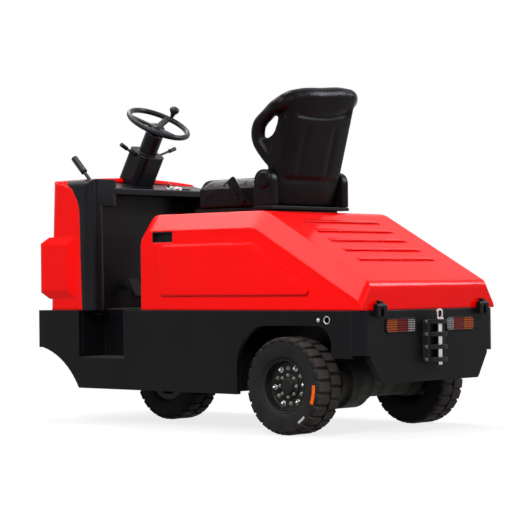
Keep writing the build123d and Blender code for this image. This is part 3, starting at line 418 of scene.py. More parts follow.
make_rim("disc_rear_left", rear_axle_x, wheel_y, 1, "rear_wheel_left", "rear_rim_left")
make_rim("disc_rear_right", rear_axle_x, -wheel_y, -1, "rear_wheel_right", "rear_rim_right")
paint(["front_rim"], rim_black)
bright_steel = make_finish(
    "bright_steel",
    colour=(0.62, 0.61, 0.59),
    shade=(0.42, 0.41, 0.40),
    patch=40.0,
    grain=900.0,
    sheen=(0.22, 0.38),
    bump=0.0001,
    edge_radius=0.001,
    metallic=1.0,
    specular=0.5,
)
worn_steel = make_finish(
    "worn_steel",
    colour=(0.34, 0.33, 0.27),
    shade=(0.16, 0.155, 0.13),
    patch=60.0,
    grain=700.0,
    sheen=(0.3, 0.5),
    bump=0.0002,
    edge_radius=0.001,
    metallic=1.0,
    specular=0.5,
)


def add_peg(shape, segments, foot, top, high, place=Matrix()):
    """Adds a capped peg about its middle, from its foot's radius to its top's."""
    bmesh.ops.create_cone(
        shape, cap_ends=True, segments=segments, radius1=foot, radius2=top, depth=high, matrix=place
    )


def raised(high):
    """A move straight up."""
    return Matrix.Translation((0, 0, high))


def put(shape, matrix):
    """Turns and moves a whole shape."""
    bmesh.ops.transform(shape, verts=shape.verts, matrix=matrix)


def hex_nut(radius, high, place, axis_turn):
    """A six-sided nut with a bevelled crown and a stud through it, on a washer."""
    shape = bmesh.new()
    add_peg(shape, 6, radius, radius, high, raised(high / 2))
    crown = [e for e in shape.edges if all(v.co.z > high * 0.9 for v in e.verts)]
    round_off(shape, crown, radius * 0.18)
    add_peg(shape, 16, radius * 0.55, radius * 0.48, high * 0.6, raised(high * 1.3))
    add_peg(shape, 20, radius * 1.35, radius * 1.3, high * 0.2, raised(high * 0.1))
    put(shape, Matrix.Translation(place) @ axis_turn)
    return shape


def cap_nut(radius, place, axis_turn):
    """A domed wheel nut on a flat washer."""
    dome = bmesh.new()
    bmesh.ops.create_uvsphere(dome, u_segments=16, v_segments=10, radius=radius * 0.88)
    rise = Matrix.Translation(place) @ axis_turn @ raised(radius * 0.9)
    put(dome, rise)
    return gather([hex_nut(radius, radius * 0.8, place, axis_turn), dome])


def on_wheel(side, circle, turn, out):
    """A place on a rear wheel's disc: on a bolt circle, so far out from the wheel's middle."""
    return rear_axle_x - circle * cos(turn), side * (wheel_y + out), tyre_radius + circle * sin(turn)


nut_radius = 0.0100
nut_circle = 0.089
stud_radius, stud_height = 0.0075, 0.007
stud_circle = 0.081
screw_radius, screw_height = 0.0062, 0.006
screw_circle = 0.050
disc_face = 0.0285
hub_face = 0.0398
first_nut = radians(5)
for side, body in ((1, "rear_wheel_left"), (-1, "rear_wheel_right")):
    facing = Matrix.Rotation(-side * pi / 2, 4, "X")
    nuts = []
    studs = []
    for i in range(6):
        nut_turn = first_nut + i * pi / 3
        nuts.append(cap_nut(nut_radius, on_wheel(side, nut_circle, nut_turn, disc_face), facing))
        stud_turn = first_nut + (i + 0.5) * pi / 3
        stud_place = on_wheel(side, stud_circle, stud_turn, disc_face)
        studs.append(hex_nut(stud_radius, stud_height, stud_place, facing))
    screws = []
    for i in range(8):
        screw_place = on_wheel(side, screw_circle, i * pi / 4, hub_face)
        screws.append(hex_nut(screw_radius, screw_height, screw_place, facing))
    make_piece("wheel_nuts_" + body, gather(nuts), bright_steel, body)
    make_piece("wheel_studs_" + body, gather(studs), worn_steel, body)
    make_piece("hub_screws_" + body, gather(screws), worn_steel, body)

# Tyre marks: a curved stripe of orange paint and a shorter white one on the left rear sidewall.
# Each is a thin coat, laid straight on the rubber, and turns with the wheel.
stripe_orange = make_finish(
    "stripe_orange",
    colour=(0.90, 0.13, 0.005),
    shade=(0.75, 0.10, 0.004),
    patch=60.0,
    sheen=(0.5, 0.65),
    edge_radius=0.0005,
    specular=0.1,
)
stripe_white = make_finish(
    "stripe_white",
    colour=(0.55, 0.55, 0.55),
    shade=(0.40, 0.40, 0.40),
    patch=60.0,
    sheen=(0.5, 0.65),
    edge_radius=0.0005,
    specular=0.1,
)
stripe_coat = 0.0012
stripe_room = 0.0003
stripe_steps = 14
for name, inner, outer, start, end, material in (
    ("orange_stripe", 0.183, 0.201, radians(3), radians(-23), stripe_orange),
    ("white_stripe", 0.184, 0.194, radians(-45), radians(-59), stripe_white),
):
    shape = bmesh.new()
    rows = []
    for circle in (inner, outer):
        turns = [start + (end - start) * i / stripe_steps for i in range(stripe_steps + 1)]
        rows.append([shape.verts.new(on_wheel(1, circle, turn, tyre_half - stripe_room)) for turn in turns])
    for i in range(stripe_steps):
        shape.faces.new((rows[0][i], rows[0][i + 1], rows[1][i + 1], rows[1][i]))
    bmesh.ops.solidify(shape, geom=shape.faces, thickness=stripe_coat)
    make_piece(name, shape, material, "rear_wheel_left")

# Rear axle and drive motor: a cast gear case with tubes and an electric motor bolted to it.
# Both are in grey paint and carry road grime, being low and behind the wheels.
drive_grey = make_finish(
    "drive_grey",
    colour=(0.034, 0.033, 0.030),
    shade=(0.018, 0.018, 0.017),
    dust=(0.05, 0.044, 0.038),
    patch=12.0,
    grain=180.0,
    sheen=(0.45, 0.7),
    dust_height=0.6,
    dust_amount=0.6,
    bump=0.0008,
    edge_radius=0.005,
)
paint(["rear_axle", "drive_motor"], drive_grey)

# Front fork and axle: a fork welded from steel plate in satin black, which turns under the floor.
# The axle through it is bare bright steel.
chassis_black = make_finish(
    "chassis_black_paint",
    colour=(0.0034, 0.0030, 0.0040),
    shade=(0.0056, 0.0048, 0.0060),
    dust=(0.030, 0.028, 0.028),
    patch=3.0,
    grain=700.0,
    sheen=(0.30, 0.45),
    dust_height=0.45,
    dust_amount=0.16,
    bump=0.00015,
    edge_radius=0.006,
    specular=0.07,
    edge_wear_and_highlight=(0.014, 0.013, 0.016),
)
paint(["steer_fork"], chassis_black)
paint(["front_axle"], bright_steel)

# Chassis: thick steel side plates, bumper and rear plate on a welded frame, sprayed satin black.
# The paint is rubbed lighter along the plates' edges.
paint(["side_plate_left", "side_plate_right", "front_bumper", "rear_plate", "chassis_frame"], chassis_black)

# Tie-downs: a pressed steel ring let into the hole in each side plate.
# A bright screw stands ahead of each ring.
tie_x, tie_z = -0.843, 0.527
plate_face = 0.5
tie_ring = [(0.0142, -0.002), (0.0142, 0.0025), (0.0160, 0.0035), (0.0180, 0.0030), (0.0185, -0.002)]
tie_screw_ahead = 0.052
tie_screw_radius, tie_screw_height = 0.007, 0.005
for side, word in ((1, "left"), (-1, "right")):
    facing = Matrix.Rotation(-side * pi / 2, 4, "X")
    ring = spun_profile(tie_ring)
    stretch(ring, (1, side, 1))
    shift(ring, (tie_x, side * plate_face, tie_z))
    make_piece("tie_down_ring_" + word, ring, bright_steel, "chassis")
    screw_place = (tie_x + tie_screw_ahead, side * plate_face, tie_z)
    screw = hex_nut(tie_screw_radius, tie_screw_height, screw_place, facing)
    make_piece("tie_down_screw_" + word, screw, bright_steel, "chassis")

# Floor and step wells: folded steel plate in the chassis black, set into the frame.
# Loose mats of black rubber lie on them, ribbed across so that boots hold.
paint(["floor_plate", "step_well_left", "step_well_right"], chassis_black)
mat_rubber = make_finish(
    "mat_rubber",
    colour=(0.012, 0.012, 0.012),
    shade=(0.02, 0.019, 0.018),
    dust=(0.12, 0.11, 0.10),
    patch=10.0,
    grain=320.0,
    sheen=(0.6, 0.8),
    dust_height=1.2,
    dust_amount=0.10,
    bump=0.0004,
    specular=0.08,
)
deck_z = 0.568
step_z = 0.330
mat_thick = 0.004
mat_rounding = 0.0015
rib_height = 0.004
rib_rise = 0.001
rib_rounding = 0.0018
rib_margin = 0.02


def plain_bar(size):
    """A box about the origin."""
    shape = bmesh.new()
    bmesh.ops.create_cube(shape, size=1.0)
    stretch(shape, size)
    return shape


def rounded_bar(size, radius, segments=2):
    """A box about the origin with all its edges rounded."""
    shape = plain_bar(size)
    round_off(shape, shape.edges, radius, segments)
    return shape


def ribbed_mat(name, x, y, z, ribs):
    """A mat with bevelled ribs along Y."""
    long, wide = x[1] - x[0], y[1] - y[0]
    middle_y = (y[0] + y[1]) / 2
    sheet = rounded_bar((long, wide, mat_thick), mat_rounding)
    shift(sheet, ((x[0] + x[1]) / 2, middle_y, z + mat_thick / 2))
    pitch = long / (ribs + 1)
    pieces = [sheet]
    for i in range(ribs):
        rib = plain_bar((pitch * 0.5, wide - rib_margin, rib_height))
        round_off(rib, [e for e in rib.edges if all(v.co.z > 0 for v in e.verts)], rib_rounding)
        rib_place = (x[0] + (i + 1) * pitch, middle_y, z + mat_thick + rib_rise)
        shift(rib, rib_place)
        pieces.append(rib)
    make_piece(name, gather(pieces), mat_rubber, "chassis")


ribbed_mat("footwell_mat", (0.372, 0.885), (-0.312, 0.312), deck_z, 17)
ribbed_mat("step_mat_left", (0.486, 0.803), (0.323, 0.497), step_z, 11)
ribbed_mat("step_mat_right", (0.486, 0.803), (-0.497, -0.323), step_z, 11)

# Battery: a steel case in grey under the hood, its cells closed by moulded filler caps
# and joined by lead straps. It is seen only with the hood up.
battery_case = make_finish(
    "battery_case",
    colour=(0.09, 0.10, 0.11),
    shade=(0.06, 0.065, 0.07),
    dust=(0.2, 0.19, 0.17),
    patch=7.0,
    grain=300.0,
    sheen=(0.4, 0.6),
    dust_height=0.7,
    dust_amount=0.2,
    edge_radius=0.004,
)
paint(["battery"], battery_case)
cell_cap = make_finish(
    "cell_cap_plastic",
    colour=(0.55, 0.36, 0.02),
    shade=(0.45, 0.28, 0.02),
    patch=30.0,
    sheen=(0.35, 0.5),
    edge_radius=0.001,
)
cell_rows = 3
cells_across = 6
cap_foot, cap_top, cap_height = 0.026, 0.022, 0.018
cap_rounding = 0.004
strap_size = (0.024, 0.11, 0.008)
strap_rounding = 0.002
strap_ahead = 0.055
battery_low, battery_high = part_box("battery")
cell_length = (battery_high.x - battery_low.x) / cell_rows
cell_width = (battery_high.y - battery_low.y) / cells_across
caps = []
straps = []
for row in range(cell_rows):
    for line in range(cells_across):
        cap_x = battery_low.x + (row + 0.5) * cell_length
        cap_y = battery_low.y + (line + 0.5) * cell_width
        cap = bmesh.new()
        add_peg(cap, 24, cap_foot, cap_top, cap_height)
        round_off(cap, [e for e in cap.edges if all(v.co.z > 0 for v in e.verts)], cap_rounding)
        shift(cap, (cap_x, cap_y, battery_high.z + cap_height / 2))
        caps.append(cap)
        if line < cells_across - 1:
            strap = rounded_bar(strap_size, strap_rounding)
            strap_z = battery_high.z + strap_size[2] / 2
            strap_place = (cap_x + strap_ahead, cap_y + cell_width / 2, strap_z)
            shift(strap, strap_place)
            straps.append(strap)
make_piece("cell_caps", gather(caps), cell_cap, "chassis")
make_piece("cell_straps", gather(straps), battery_case, "chassis")

# Hood and front cowl: moulded and pressed panels in gloss red enamel with a faint orange peel.
# The edges are rounded and a little dust gathers low down.
body_red = make_finish(
    "body_red_enamel",
    colour=(0.93, 0.0012, 0.0008),
    shade=(0.89, 0.0010, 0.0008),
    dust=(0.55, 0.10, 0.08),
    patch=2.2,
    grain=120.0,
    sheen=(0.16, 0.24),
    dust_height=0.70,
    dust_amount=0.04,
    bump=0.00012,
    edge_radius=0.018,
    specular=0.03,
    coat=0.12,
)
paint(["hood_shell", "front_cowl"], body_red)

# Louvres: five pressed lips across the sloping tail of the hood, each raised towards its slot
# so that the battery can breathe. They are part of the same red sheet.
slope_drop, slope_run = 0.343, 0.625
slope_angle = math.atan2(slope_drop, slope_run)
slope_start = Vector((-0.418, 0.0, 1.035))
downhill = Vector((-cos(slope_angle), 0.0, -sin(slope_angle)))
outward = Vector((-sin(slope_angle), 0.0, cos(slope_angle)))
louvre_count = 5
louvre_half = 0.290
louvre_first = 0.120
louvre_pitch = 0.095
slot_half = 0.008
lip_sunk = 0.002
lip_section = [
    (-0.034, -lip_sunk),
    (-0.026, 0.0014),
    (-0.010, 0.0044),
    (-0.003, 0.0050),
    (0.0, 0.0040),
    (0.0, -lip_sunk),
]
lip_ends = [(0.0, 0.0), (0.010, 0.45), (0.030, 0.9), (0.050, 1.0)]
lip_stations = [(-louvre_half + inset, rise) for inset, rise in lip_ends]
lip_stations += [(louvre_half - inset, rise) for inset, rise in reversed(lip_ends)]
lips = []
for i in range(louvre_count):
    slot_edge = louvre_first + i * louvre_pitch - slot_half
    lip = bmesh.new()
    rings = []
    for across, rise in lip_stations:
        ring = []
        for along, out in lip_section:
            lift = -lip_sunk + (out + lip_sunk) * rise
            place = slope_start + downhill * (slot_edge + along) + outward * lift
            ring.append(lip.verts.new((place.x, across, place.z)))
        rings.append([lip.edges.new((a, b)) for a, b in zip(ring, ring[1:] + ring[:1])])
    for first, second in zip(rings, rings[1:]):
        bmesh.ops.bridge_loops(lip, edges=first + second)
    bmesh.ops.holes_fill(lip, edges=lip.edges, sides=0)
    lips.append(lip)
make_piece("louvre_lips", gather(lips), body_red, "hood")

# Hood grips: black moulded trays sunk in the hood's sides, where a hand lifts the lid.
# Each is a plain plastic box, clipped into its slot, with a fine grain.
grip_black = make_finish(
    "grip_black",
    colour=(0.006, 0.0055, 0.006),
    shade=(0.009, 0.0085, 0.009),
    patch=12.0,
    grain=900.0,
    sheen=(0.45, 0.6),
    bump=0.0003,
    specular=0.07,
)
paint(["hood_grip_left", "hood_grip_right"], grip_black)

# Hood hinges: steel ears on the rear plate and leaves on the hood, joined by pins.
# They are sprayed black with the chassis.
paint(["hinge_ears", "hood_hinge_leaves"], chassis_black)

# Headlamps: clear lenses with upright ribs over a bright reflector, let into the cowl's nose band.
# A black moulded rim is pressed on round each one.
lens_dark = (0.26, 0.28, 0.30, 1.0)
lens_light = (0.62, 0.64, 0.66, 1.0)
lens_rib_scale = 28.0
lens_clear, lens_tree, lens_shader = new_material("head_lens")
lens_spot = add_node(lens_tree, "ShaderNodeTexCoord").outputs["Object"]
lens_wave = {"Vector": lens_spot, "Scale": lens_rib_scale}
lens_ribs = add_node(lens_tree, "ShaderNodeTexWave", lens_wave, bands_direction="Y").outputs["Fac"]
lens_bump = add_node(lens_tree, "ShaderNodeBump", {"Height": lens_ribs, "Strength": 1.0, "Distance": 0.0015})
lens_tree.links.new(mixed(lens_tree, lens_ribs, lens_dark, lens_light), lens_shader.inputs["Base Color"])
lens_tree.links.new(lens_bump.outputs["Normal"], lens_shader.inputs["Normal"])
lens_shader.inputs["Roughness"].default_value = 0.08
lens_shader.inputs["Metallic"].default_value = 0.35
lens_shader.inputs["Coat Weight"].default_value = 1.0
paint(["headlamp_left", "headlamp_right"], lens_clear)
frame_corner = 0.016
frame_rounding = 0.0015
square_angle = radians(60)


def square_edges(shape):
    """The edges of a shape where two faces meet squarely."""
    return [e for e in shape.edges if len(e.link_faces) == 2 and e.calc_face_angle() > square_angle]


def lamp_frame(name, lamp, face_x, out, width, deep):
    """A rounded frame round a lamp that faces along X; out is the side it stands out on."""
    low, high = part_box(lamp)
    shape = bmesh.new()
    bmesh.ops.create_grid(shape, x_segments=1, y_segments=1, size=0.5)
    outer_size = (high.y - low.y + 2 * width, high.z - low.z + 2 * width, 1)
    stretch(shape, outer_size)
    round_off(shape, shape.verts, frame_corner, 5, "VERTICES")
    band = bmesh.ops.inset_region(
        shape, faces=shape.faces, thickness=width, use_boundary=True, use_even_offset=True
    )
    inner = [f for f in shape.faces if f not in band["faces"]]
    bmesh.ops.delete(shape, geom=inner, context="FACES")
    bmesh.ops.solidify(shape, geom=shape.faces, thickness=deep)
    round_off(shape, square_edges(shape), frame_rounding)
    upright = Matrix(((0, 0, 1, 0), (1, 0, 0, 0), (0, 1, 0, 0), (0, 0, 0, 1)))
    put(shape, upright)
    middle = sum(v.co.x for v in shape.verts) / len(shape.verts)
    place = (face_x + out * deep / 2 - middle, (low.y + high.y) / 2, (low.z + high.z) / 2)
    shift(shape, place)
    make_piece(name, shape, grip_black, "chassis")


nose_x = 1.116
for word in ("left", "right"):
    lamp_frame("headlamp_rim_" + word, "headlamp_" + word, nose_x, 1, 0.010, 0.006)

# Tail lamps: one moulding each of amber, red and clear lenses side by side, amber outermost,
# with fine prisms on the inside, in a black rubber frame on the rear plate.
tail_gap = (0.012, 0.001, 0.001, 1.0)
tail_edge, tail_end = 0.12, 0.325
tail_colours = (
    (0.0, (0.50, 0.50, 0.49, 1)),
    (0.24, (0.05, 0.01, 0.01, 1)),
    (0.252, (0.36, 0.004, 0.004, 1)),
    (0.625, (0.06, 0.015, 0.005, 1)),
    (0.637, (0.80, 0.13, 0.003, 1)),
)
bead_pitch = 0.0105
tail_lens, tail_tree, tail_shader = new_material("tail_lens")
tail_spot = add_node(tail_tree, "ShaderNodeTexCoord").outputs["Object"]
tail_axes = add_node(tail_tree, "ShaderNodeSeparateXYZ", {"Vector": tail_spot}).outputs
tail_out = maths(tail_tree, "ABSOLUTE", tail_axes["Y"])
tail_share = spread(tail_tree, tail_out, tail_edge, tail_end)
tail_bands = add_node(tail_tree, "ShaderNodeValToRGB", {"Fac": tail_share})
bands = tail_bands.color_ramp
bands.interpolation = "CONSTANT"
for i, (place, colour) in enumerate(tail_colours):
    band = bands.elements[i] if i < 2 else bands.elements.new(place)
    band.position = place
    band.color = colour
beads = []
for axis in ("Y", "Z"):
    beat = maths(tail_tree, "MULTIPLY", tail_axes[axis], 2 * pi / bead_pitch)
    beads.append(maths(tail_tree, "COSINE", beat))
bead = maths(tail_tree, "ADD", *beads)
bead_mask = spread(tail_tree, bead, -0.4, 1.6, 0.02, 0.9)
tail_colour = mixed(tail_tree, bead_mask, tail_gap, tail_bands.outputs["Color"])
tail_bump = add_node(tail_tree, "ShaderNodeBump", {"Height": bead, "Strength": 0.4, "Distance": 0.0008})
tail_tree.links.new(tail_colour, tail_shader.inputs["Base Color"])
tail_tree.links.new(tail_bump.outputs["Normal"], tail_shader.inputs["Normal"])
tail_shader.inputs["Specular IOR Level"].default_value = 0.08
tail_shader.inputs["Roughness"].default_value = 0.15
tail_shader.inputs["Coat Weight"].default_value = 0.04
paint(["tail_lamp_left", "tail_lamp_right"], tail_lens)
tail_x = -1.043
for word in ("left", "right"):
    lamp_frame("tail_lamp_frame_" + word, "tail_lamp_" + word, tail_x, -1, 0.007, 0.005)

# Dashboard: one black moulding with a fine leather grain, pillars with rounded edges and
# a sloping panel that carries the instrument, the key switch and the rocker switches.
# Its bluish second colour is a painted sky reflection in soft patches, and its lighter edge colour is a
# painted highlight along the rounded edges.
dash_black = make_finish(
    "dash_black_plastic",
    colour=(0.0040, 0.0036, 0.0048),
    shade=(0.0056, 0.0060, 0.0086),
    dust=(0.05, 0.046, 0.042),
    patch=5.0,
    grain=650.0,
    sheen=(0.26, 0.36),
    dust_height=0.9,
    dust_amount=0.10,
    bump=0.0002,
    edge_radius=0.008,
    specular=0.09,
    coat=0.03,
    edge_wear_and_highlight=(0.030, 0.034, 0.044),
)
paint(["dash_panel", "column_cover"], dash_black)

# Instruments: a round battery gauge under dark glass in a steel bezel, a key switch and
# two rocker switches, set into the sloping panel to the right of the column.
panel_low = Vector((0.736, 0.0, 1.188))
panel_rise, panel_run = 0.040, 0.175
panel_tilt = math.atan2(panel_rise, panel_run)
switch_line = 0.042


def set_on_panel(shape, across):
    """Stands a piece on the sloping panel, on the line of switches, so far to the left."""
    along = Vector((switch_line * cos(panel_tilt), across, switch_line * sin(panel_tilt)))
    seat = Matrix.Translation(panel_low + along) @ Matrix.Rotation(-panel_tilt, 4, "Y")
    put(shape, seat)


def turned_piece(points, steps):
    """A round solid about Z from (radius, height) points."""
    shape = bmesh.new()
    corners = [shape.verts.new((r, 0, z)) for r, z in points]
    line = corners + [shape.edges.new((a, b)) for a, b in zip(corners, corners[1:])]
    bmesh.ops.spin(
        shape, geom=line, cent=(0, 0, 0), axis=(0, 0, 1), angle=2 * pi, steps=steps, use_merge=True
    )
    bmesh.ops.remove_doubles(shape, verts=shape.verts, dist=1e-6)
    bmesh.ops.holes_fill(shape, edges=shape.edges, sides=0)
    return shape


gauge_glass = make_finish(
    "gauge_glass",
    colour=(0.010, 0.012, 0.014),
    shade=(0.016, 0.018, 0.020),
    patch=30.0,
    sheen=(0.04, 0.08),
    bump=0.0,
    edge_radius=0.0005,
    specular=0.5,
)
bezel_line = [(0.0305, 0.004), (0.0315, 0.0085), (0.0340, 0.0095), (0.0360, 0.0075), (0.0365, -0.003)]
glass_line = [(0.0, 0.0068), (0.016, 0.0066), (0.031, 0.0058), (0.031, -0.003)]
lock_line = [(0.0, 0.007), (0.008, 0.007), (0.0105, 0.0055), (0.012, 0.0), (0.012, -0.003)]
gauge_across = -0.170
lock_across = -0.115
rocker_places = (-0.228, -0.258)
key_size, key_rounding, key_height = (0.018, 0.003, 0.026), 0.0012, 0.018
rocker_size, rocker_rounding, rocker_lift = (0.036, 0.020, 0.012), 0.0022, 0.005
bezel = turned_piece(bezel_line, 40)
set_on_panel(bezel, gauge_across)
make_piece("gauge_bezel", bezel, bright_steel, "chassis")
glass = turned_piece(glass_line, 40)
set_on_panel(glass, gauge_across)
make_piece("gauge_face", glass, gauge_glass, "chassis")
key = rounded_bar(key_size, key_rounding)
shift(key, (0, 0, key_height))
switch = gather([turned_piece(lock_line, 28), key])
set_on_panel(switch, lock_across)
make_piece("key_switch", switch, bright_steel, "chassis")
rockers = []
for across in rocker_places:
    rocker = plain_bar(rocker_size)
    high_end = [v for v in rocker.verts if v.co.z > 0 and v.co.x > 0]
    bmesh.ops.translate(rocker, verts=high_end, vec=(0, 0, rocker_lift))
    round_off(rocker, rocker.edges, rocker_rounding)
    set_on_panel(rocker, across)
    rockers.append(rocker)
make_piece("rocker_switches", gather(rockers), gauge_glass, "chassis")

# Steering wheel: a steel ring and spokes moulded over in black plastic, with a spinner knob.
# The ring is round in section and the hub is closed by a domed cap.
# Its bluish second colour is a painted sky reflection in soft patches, also on the stalks and brake lever.
wheel_black = make_finish(
    "wheel_black",
    colour=(0.0052, 0.0052, 0.0062),
    shade=(0.0080, 0.0100, 0.0150),
    patch=18.0,
    grain=1200.0,
    sheen=(0.3, 0.42),
    bump=0.0002,
    specular=0.12,
    coat=0.05,
)
wheel_centre = Vector((0.728, 0.0, 1.531))
wheel_tilt = Matrix.Translation(wheel_centre) @ Matrix.Rotation(-radians(30), 4, "Y")
ring_radius = 0.161
ring_section = 0.014
spoke_count = 3
spoke_size = (ring_radius, 0.036, 0.012)
spoke_rounding = 0.005
dish = 0.024
hub_line = [(0.0, -0.002), (0.022, -0.005), (0.038, -0.012)]
hub_line += [(0.046, -0.024), (0.046, -0.046), (0.040, -0.052)]
shaft_radius, shaft_length, shaft_middle = 0.015, 0.096, -0.1
stem_radius, stem_length, stem_middle = 0.009, 0.028, 0.012
knob_angle = radians(66)
knob_foot = 0.024
knob_line = [
    (0.0, 0.0),
    (0.012, 0.0),
    (0.0125, 0.010),
    (0.019, 0.017),
    (0.0255, 0.028),
    (0.0260, 0.036),
    (0.0215, 0.045),
    (0.012, 0.050),
    (0.0, 0.051),
]
ring = bmesh.new()
on_ring = Matrix.Translation((ring_radius, 0, 0))
bmesh.ops.create_circle(
    ring, cap_ends=False, segments=20, radius=ring_section, matrix=on_ring @ Matrix.Rotation(pi / 2, 4, "X")
)
section = ring.verts[:] + ring.edges[:]
bmesh.ops.spin(ring, geom=section, cent=(0, 0, 0), axis=(0, 0, 1), angle=2 * pi, steps=96, use_merge=True)
pieces = [ring]
for i in range(spoke_count):
    spoke = rounded_bar(spoke_size, spoke_rounding, 3)
    lean = Matrix.Translation((ring_radius / 2, 0, -dish / 2)) @ Matrix.Rotation(-dish / ring_radius, 4, "Y")
    turn = Matrix.Rotation(pi + i * 2 * pi / spoke_count, 4, "Z")
    put(spoke, turn @ lean)
    pieces.append(spoke)
pieces.append(turned_piece(hub_line, 48))
shaft = bmesh.new()
add_peg(shaft, 32, shaft_radius, shaft_radius, shaft_length, raised(shaft_middle))
pieces.append(shaft)
knob_turn = Matrix.Rotation(-knob_angle, 4, "Z") @ on_ring
stem = bmesh.new()
add_peg(stem, 24, stem_radius, stem_radius, stem_length, knob_turn @ raised(stem_middle))
pieces.append(stem)
whole = gather(pieces)
put(whole, wheel_tilt)
steering = make_piece("steering_ring", whole, wheel_black, "steering")
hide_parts("steering_wheel")
knob = turned_piece(knob_line, 40)
put(knob, wheel_tilt @ knob_turn @ raised(knob_foot))
spinner = make_piece("spinner_ball", knob, wheel_black, "steering")
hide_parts("spinner_knob")

# Stalks, brake lever and pedals: steel rods with black moulded grips, on the column and the dashboard.
# The pedals are tilted pads on stems, cased in black rubber.
paint(["direction_stalk", "lamp_stalk", "brake_lever"], wheel_black)
paint(["pedals"], mat_rubber)

# Tow coupling: a flame-cut steel ladder painted black, its edges rubbed bright by tow bars.
# The drop pin is plain turned steel, and the ends of the rungs are rubbed bare.
hitch_black = make_finish(
    "hitch_black",
    colour=(0.008, 0.008, 0.009),
    shade=(0.014, 0.013, 0.014),
    dust=(0.06, 0.055, 0.05),
    patch=26.0,
    grain=500.0,
    sheen=(0.35, 0.6),
    dust_height=0.6,
    dust_amount=0.1,
    edge_radius=0.002,
    specular=0.1,
    edge_wear_and_highlight=(0.05, 0.05, 0.052),
)
paint(["tow_hitch"], hitch_black)
paint(["hitch_pin"], bright_steel)
tip_size, tip_rounding = (0.026, 0.004, 0.016), 0.0018
tip_x, tip_y, tip_top = -1.060, 0.0635, 0.513
rung_count, rung_pitch = 4, 0.058
tips = []
for i in range(rung_count):
    tip = rounded_bar(tip_size, tip_rounding)
    shift(tip, (tip_x, tip_y, tip_top - i * rung_pitch))
    tips.append(tip)
make_piece("hitch_rubbed_ends", gather(tips), worn_steel, "chassis")

# Seat base and back: the back is one foam moulding under black vinyl, with a head roll and, at each
# side, a loop that runs down from the roll and a web that joins the loop to the back.
# It stands on a pressed steel base in the chassis black.
seat_vinyl = make_finish(
    "seat_vinyl",
    colour=(0.0040, 0.0028, 0.0036),
    shade=(0.0058, 0.0042, 0.0052),
    dust=(0.10, 0.095, 0.09),
    patch=7.0,
    grain=520.0,
    sheen=(0.20, 0.28),
    bump=0.00035,
    edge_radius=0.0005,
    specular=0.05,
)
paint(["seat_base"], chassis_black)


def settle(made):
    """Applies a piece's modifiers to its mesh."""
    view = bpy.context.evaluated_depsgraph_get()
    mesh = bpy.data.meshes.new_from_object(made.evaluated_get(view))
    made.modifiers.clear()
    made.data = mesh


def moulded(name, shapes, voxel, rounds):
    """One moulding from several shapes: remeshed together, then smoothed as a moulding's radii are."""
    mesh = bpy.data.meshes.new(name)
    whole = gather(shapes)
    whole.to_mesh(mesh)
    whole.free()
    mesh.materials.append(seat_vinyl)
    made = bpy.data.objects.new(name, mesh)
    bpy.context.scene.collection.objects.link(made)
    remesh = made.modifiers.new("remesh", "REMESH")
    remesh.mode = "VOXEL"
    remesh.voxel_size = voxel
    remesh.use_smooth_shade = True
    settle(made)
    ease = made.modifiers.new("ease", "SMOOTH")
    ease.factor = 0.5
    ease.iterations = rounds
    return made


back_lean = radians(16)
back_foot = Vector((-0.288, 0.0, 1.0652))
back_up = Vector((-sin(back_lean), 0.0, cos(back_lean)))
back_ahead = Vector((cos(back_lean), 0.0, sin(back_lean)))
back_half = 0.231
back_top = 0.545
back_tuck = -0.03
shell_depth = 0.092
seat_floor = 1.0654


def on_back(across, along, deep):
    """A point of the seat back: so far to the left, up the back and ahead of its rear face."""
    place = back_foot + back_up * along + back_ahead * deep
    return Vector((place.x, across, place.z))


shell = bmesh.new()
bmesh.ops.create_cube(shell, size=1.0)
for v in shell.verts:
    along = back_top if v.co.z > 0 else back_tuck
    v.co = on_back(2 * back_half * v.co.y, along, shell_depth * (v.co.x + 0.5))
everything = shell.verts[:] + shell.edges[:] + shell.faces[:]
bmesh.ops.bisect_plane(
    shell, geom=everything, plane_co=(0, 0, seat_floor), plane_no=(0, 0, -1), clear_outer=True
)
bmesh.ops.holes_fill(shell, edges=shell.edges, sides=0)
roll_radius = 0.046
loop_share = 0.76
roll_line = [(0.0, 0.536, 0.046, 1.0), (0.150, 0.534, 0.046, 1.0), (0.242, 0.512, 0.056, 0.90)]
loop_line = [(0.234, 0.428, 0.148), (0.220, 0.310, 0.203), (0.208, 0.222, 0.126), (0.203, 0.186, 0.040)]
half_line = roll_line + [(*knot, loop_share) for knot in loop_line]
whole_line = [(-across, *rest) for across, *rest in reversed(half_line[1:])] + half_line
tube_curve = bpy.data.curves.new("head_roll", "CURVE")
tube_curve.dimensions = "3D"
tube_curve.bevel_depth = roll_radius
tube_curve.bevel_resolution = 8
tube_curve.resolution_u = 16
tube_curve.use_fill_caps = True
tube_line = tube_curve.splines.new("BEZIER")
tube_line.bezier_points.add(len(whole_line) - 1)
for knot, (across, along, deep, share) in zip(tube_line.bezier_points, whole_line):
    knot.co = on_back(across, along, deep)
    knot.radius = share
    knot.handle_left_type = "AUTO"
    knot.handle_right_type = "AUTO"
tube_object = bpy.data.objects.new("head_roll", tube_curve)
bpy.context.scene.collection.objects.link(tube_object)
view = bpy.context.evaluated_depsgraph_get()
tube_mesh = bpy.data.meshes.new_from_object(tube_object.evaluated_get(view))
tube = bmesh.new()
tube.from_mesh(tube_mesh)
bmesh.ops.remove_doubles(tube, verts=tube.verts, dist=1e-5)
bpy.data.objects.remove(tube_object)
bpy.data.curves.remove(tube_curve)
bpy.data.meshes.remove(tube_mesh)
web_thick = 0.024
web_foot, web_flare = 0.177, 0.139
web_outline = [
    (0.186, 0.020),
    (0.200, 0.060),
    (0.224, 0.122),
    (0.270, 0.185),
    (0.304, 0.165),
    (0.302, 0.135),
    (0.335, 0.098),
    (0.400, 0.062),
    (0.450, 0.030),
]
webs = []
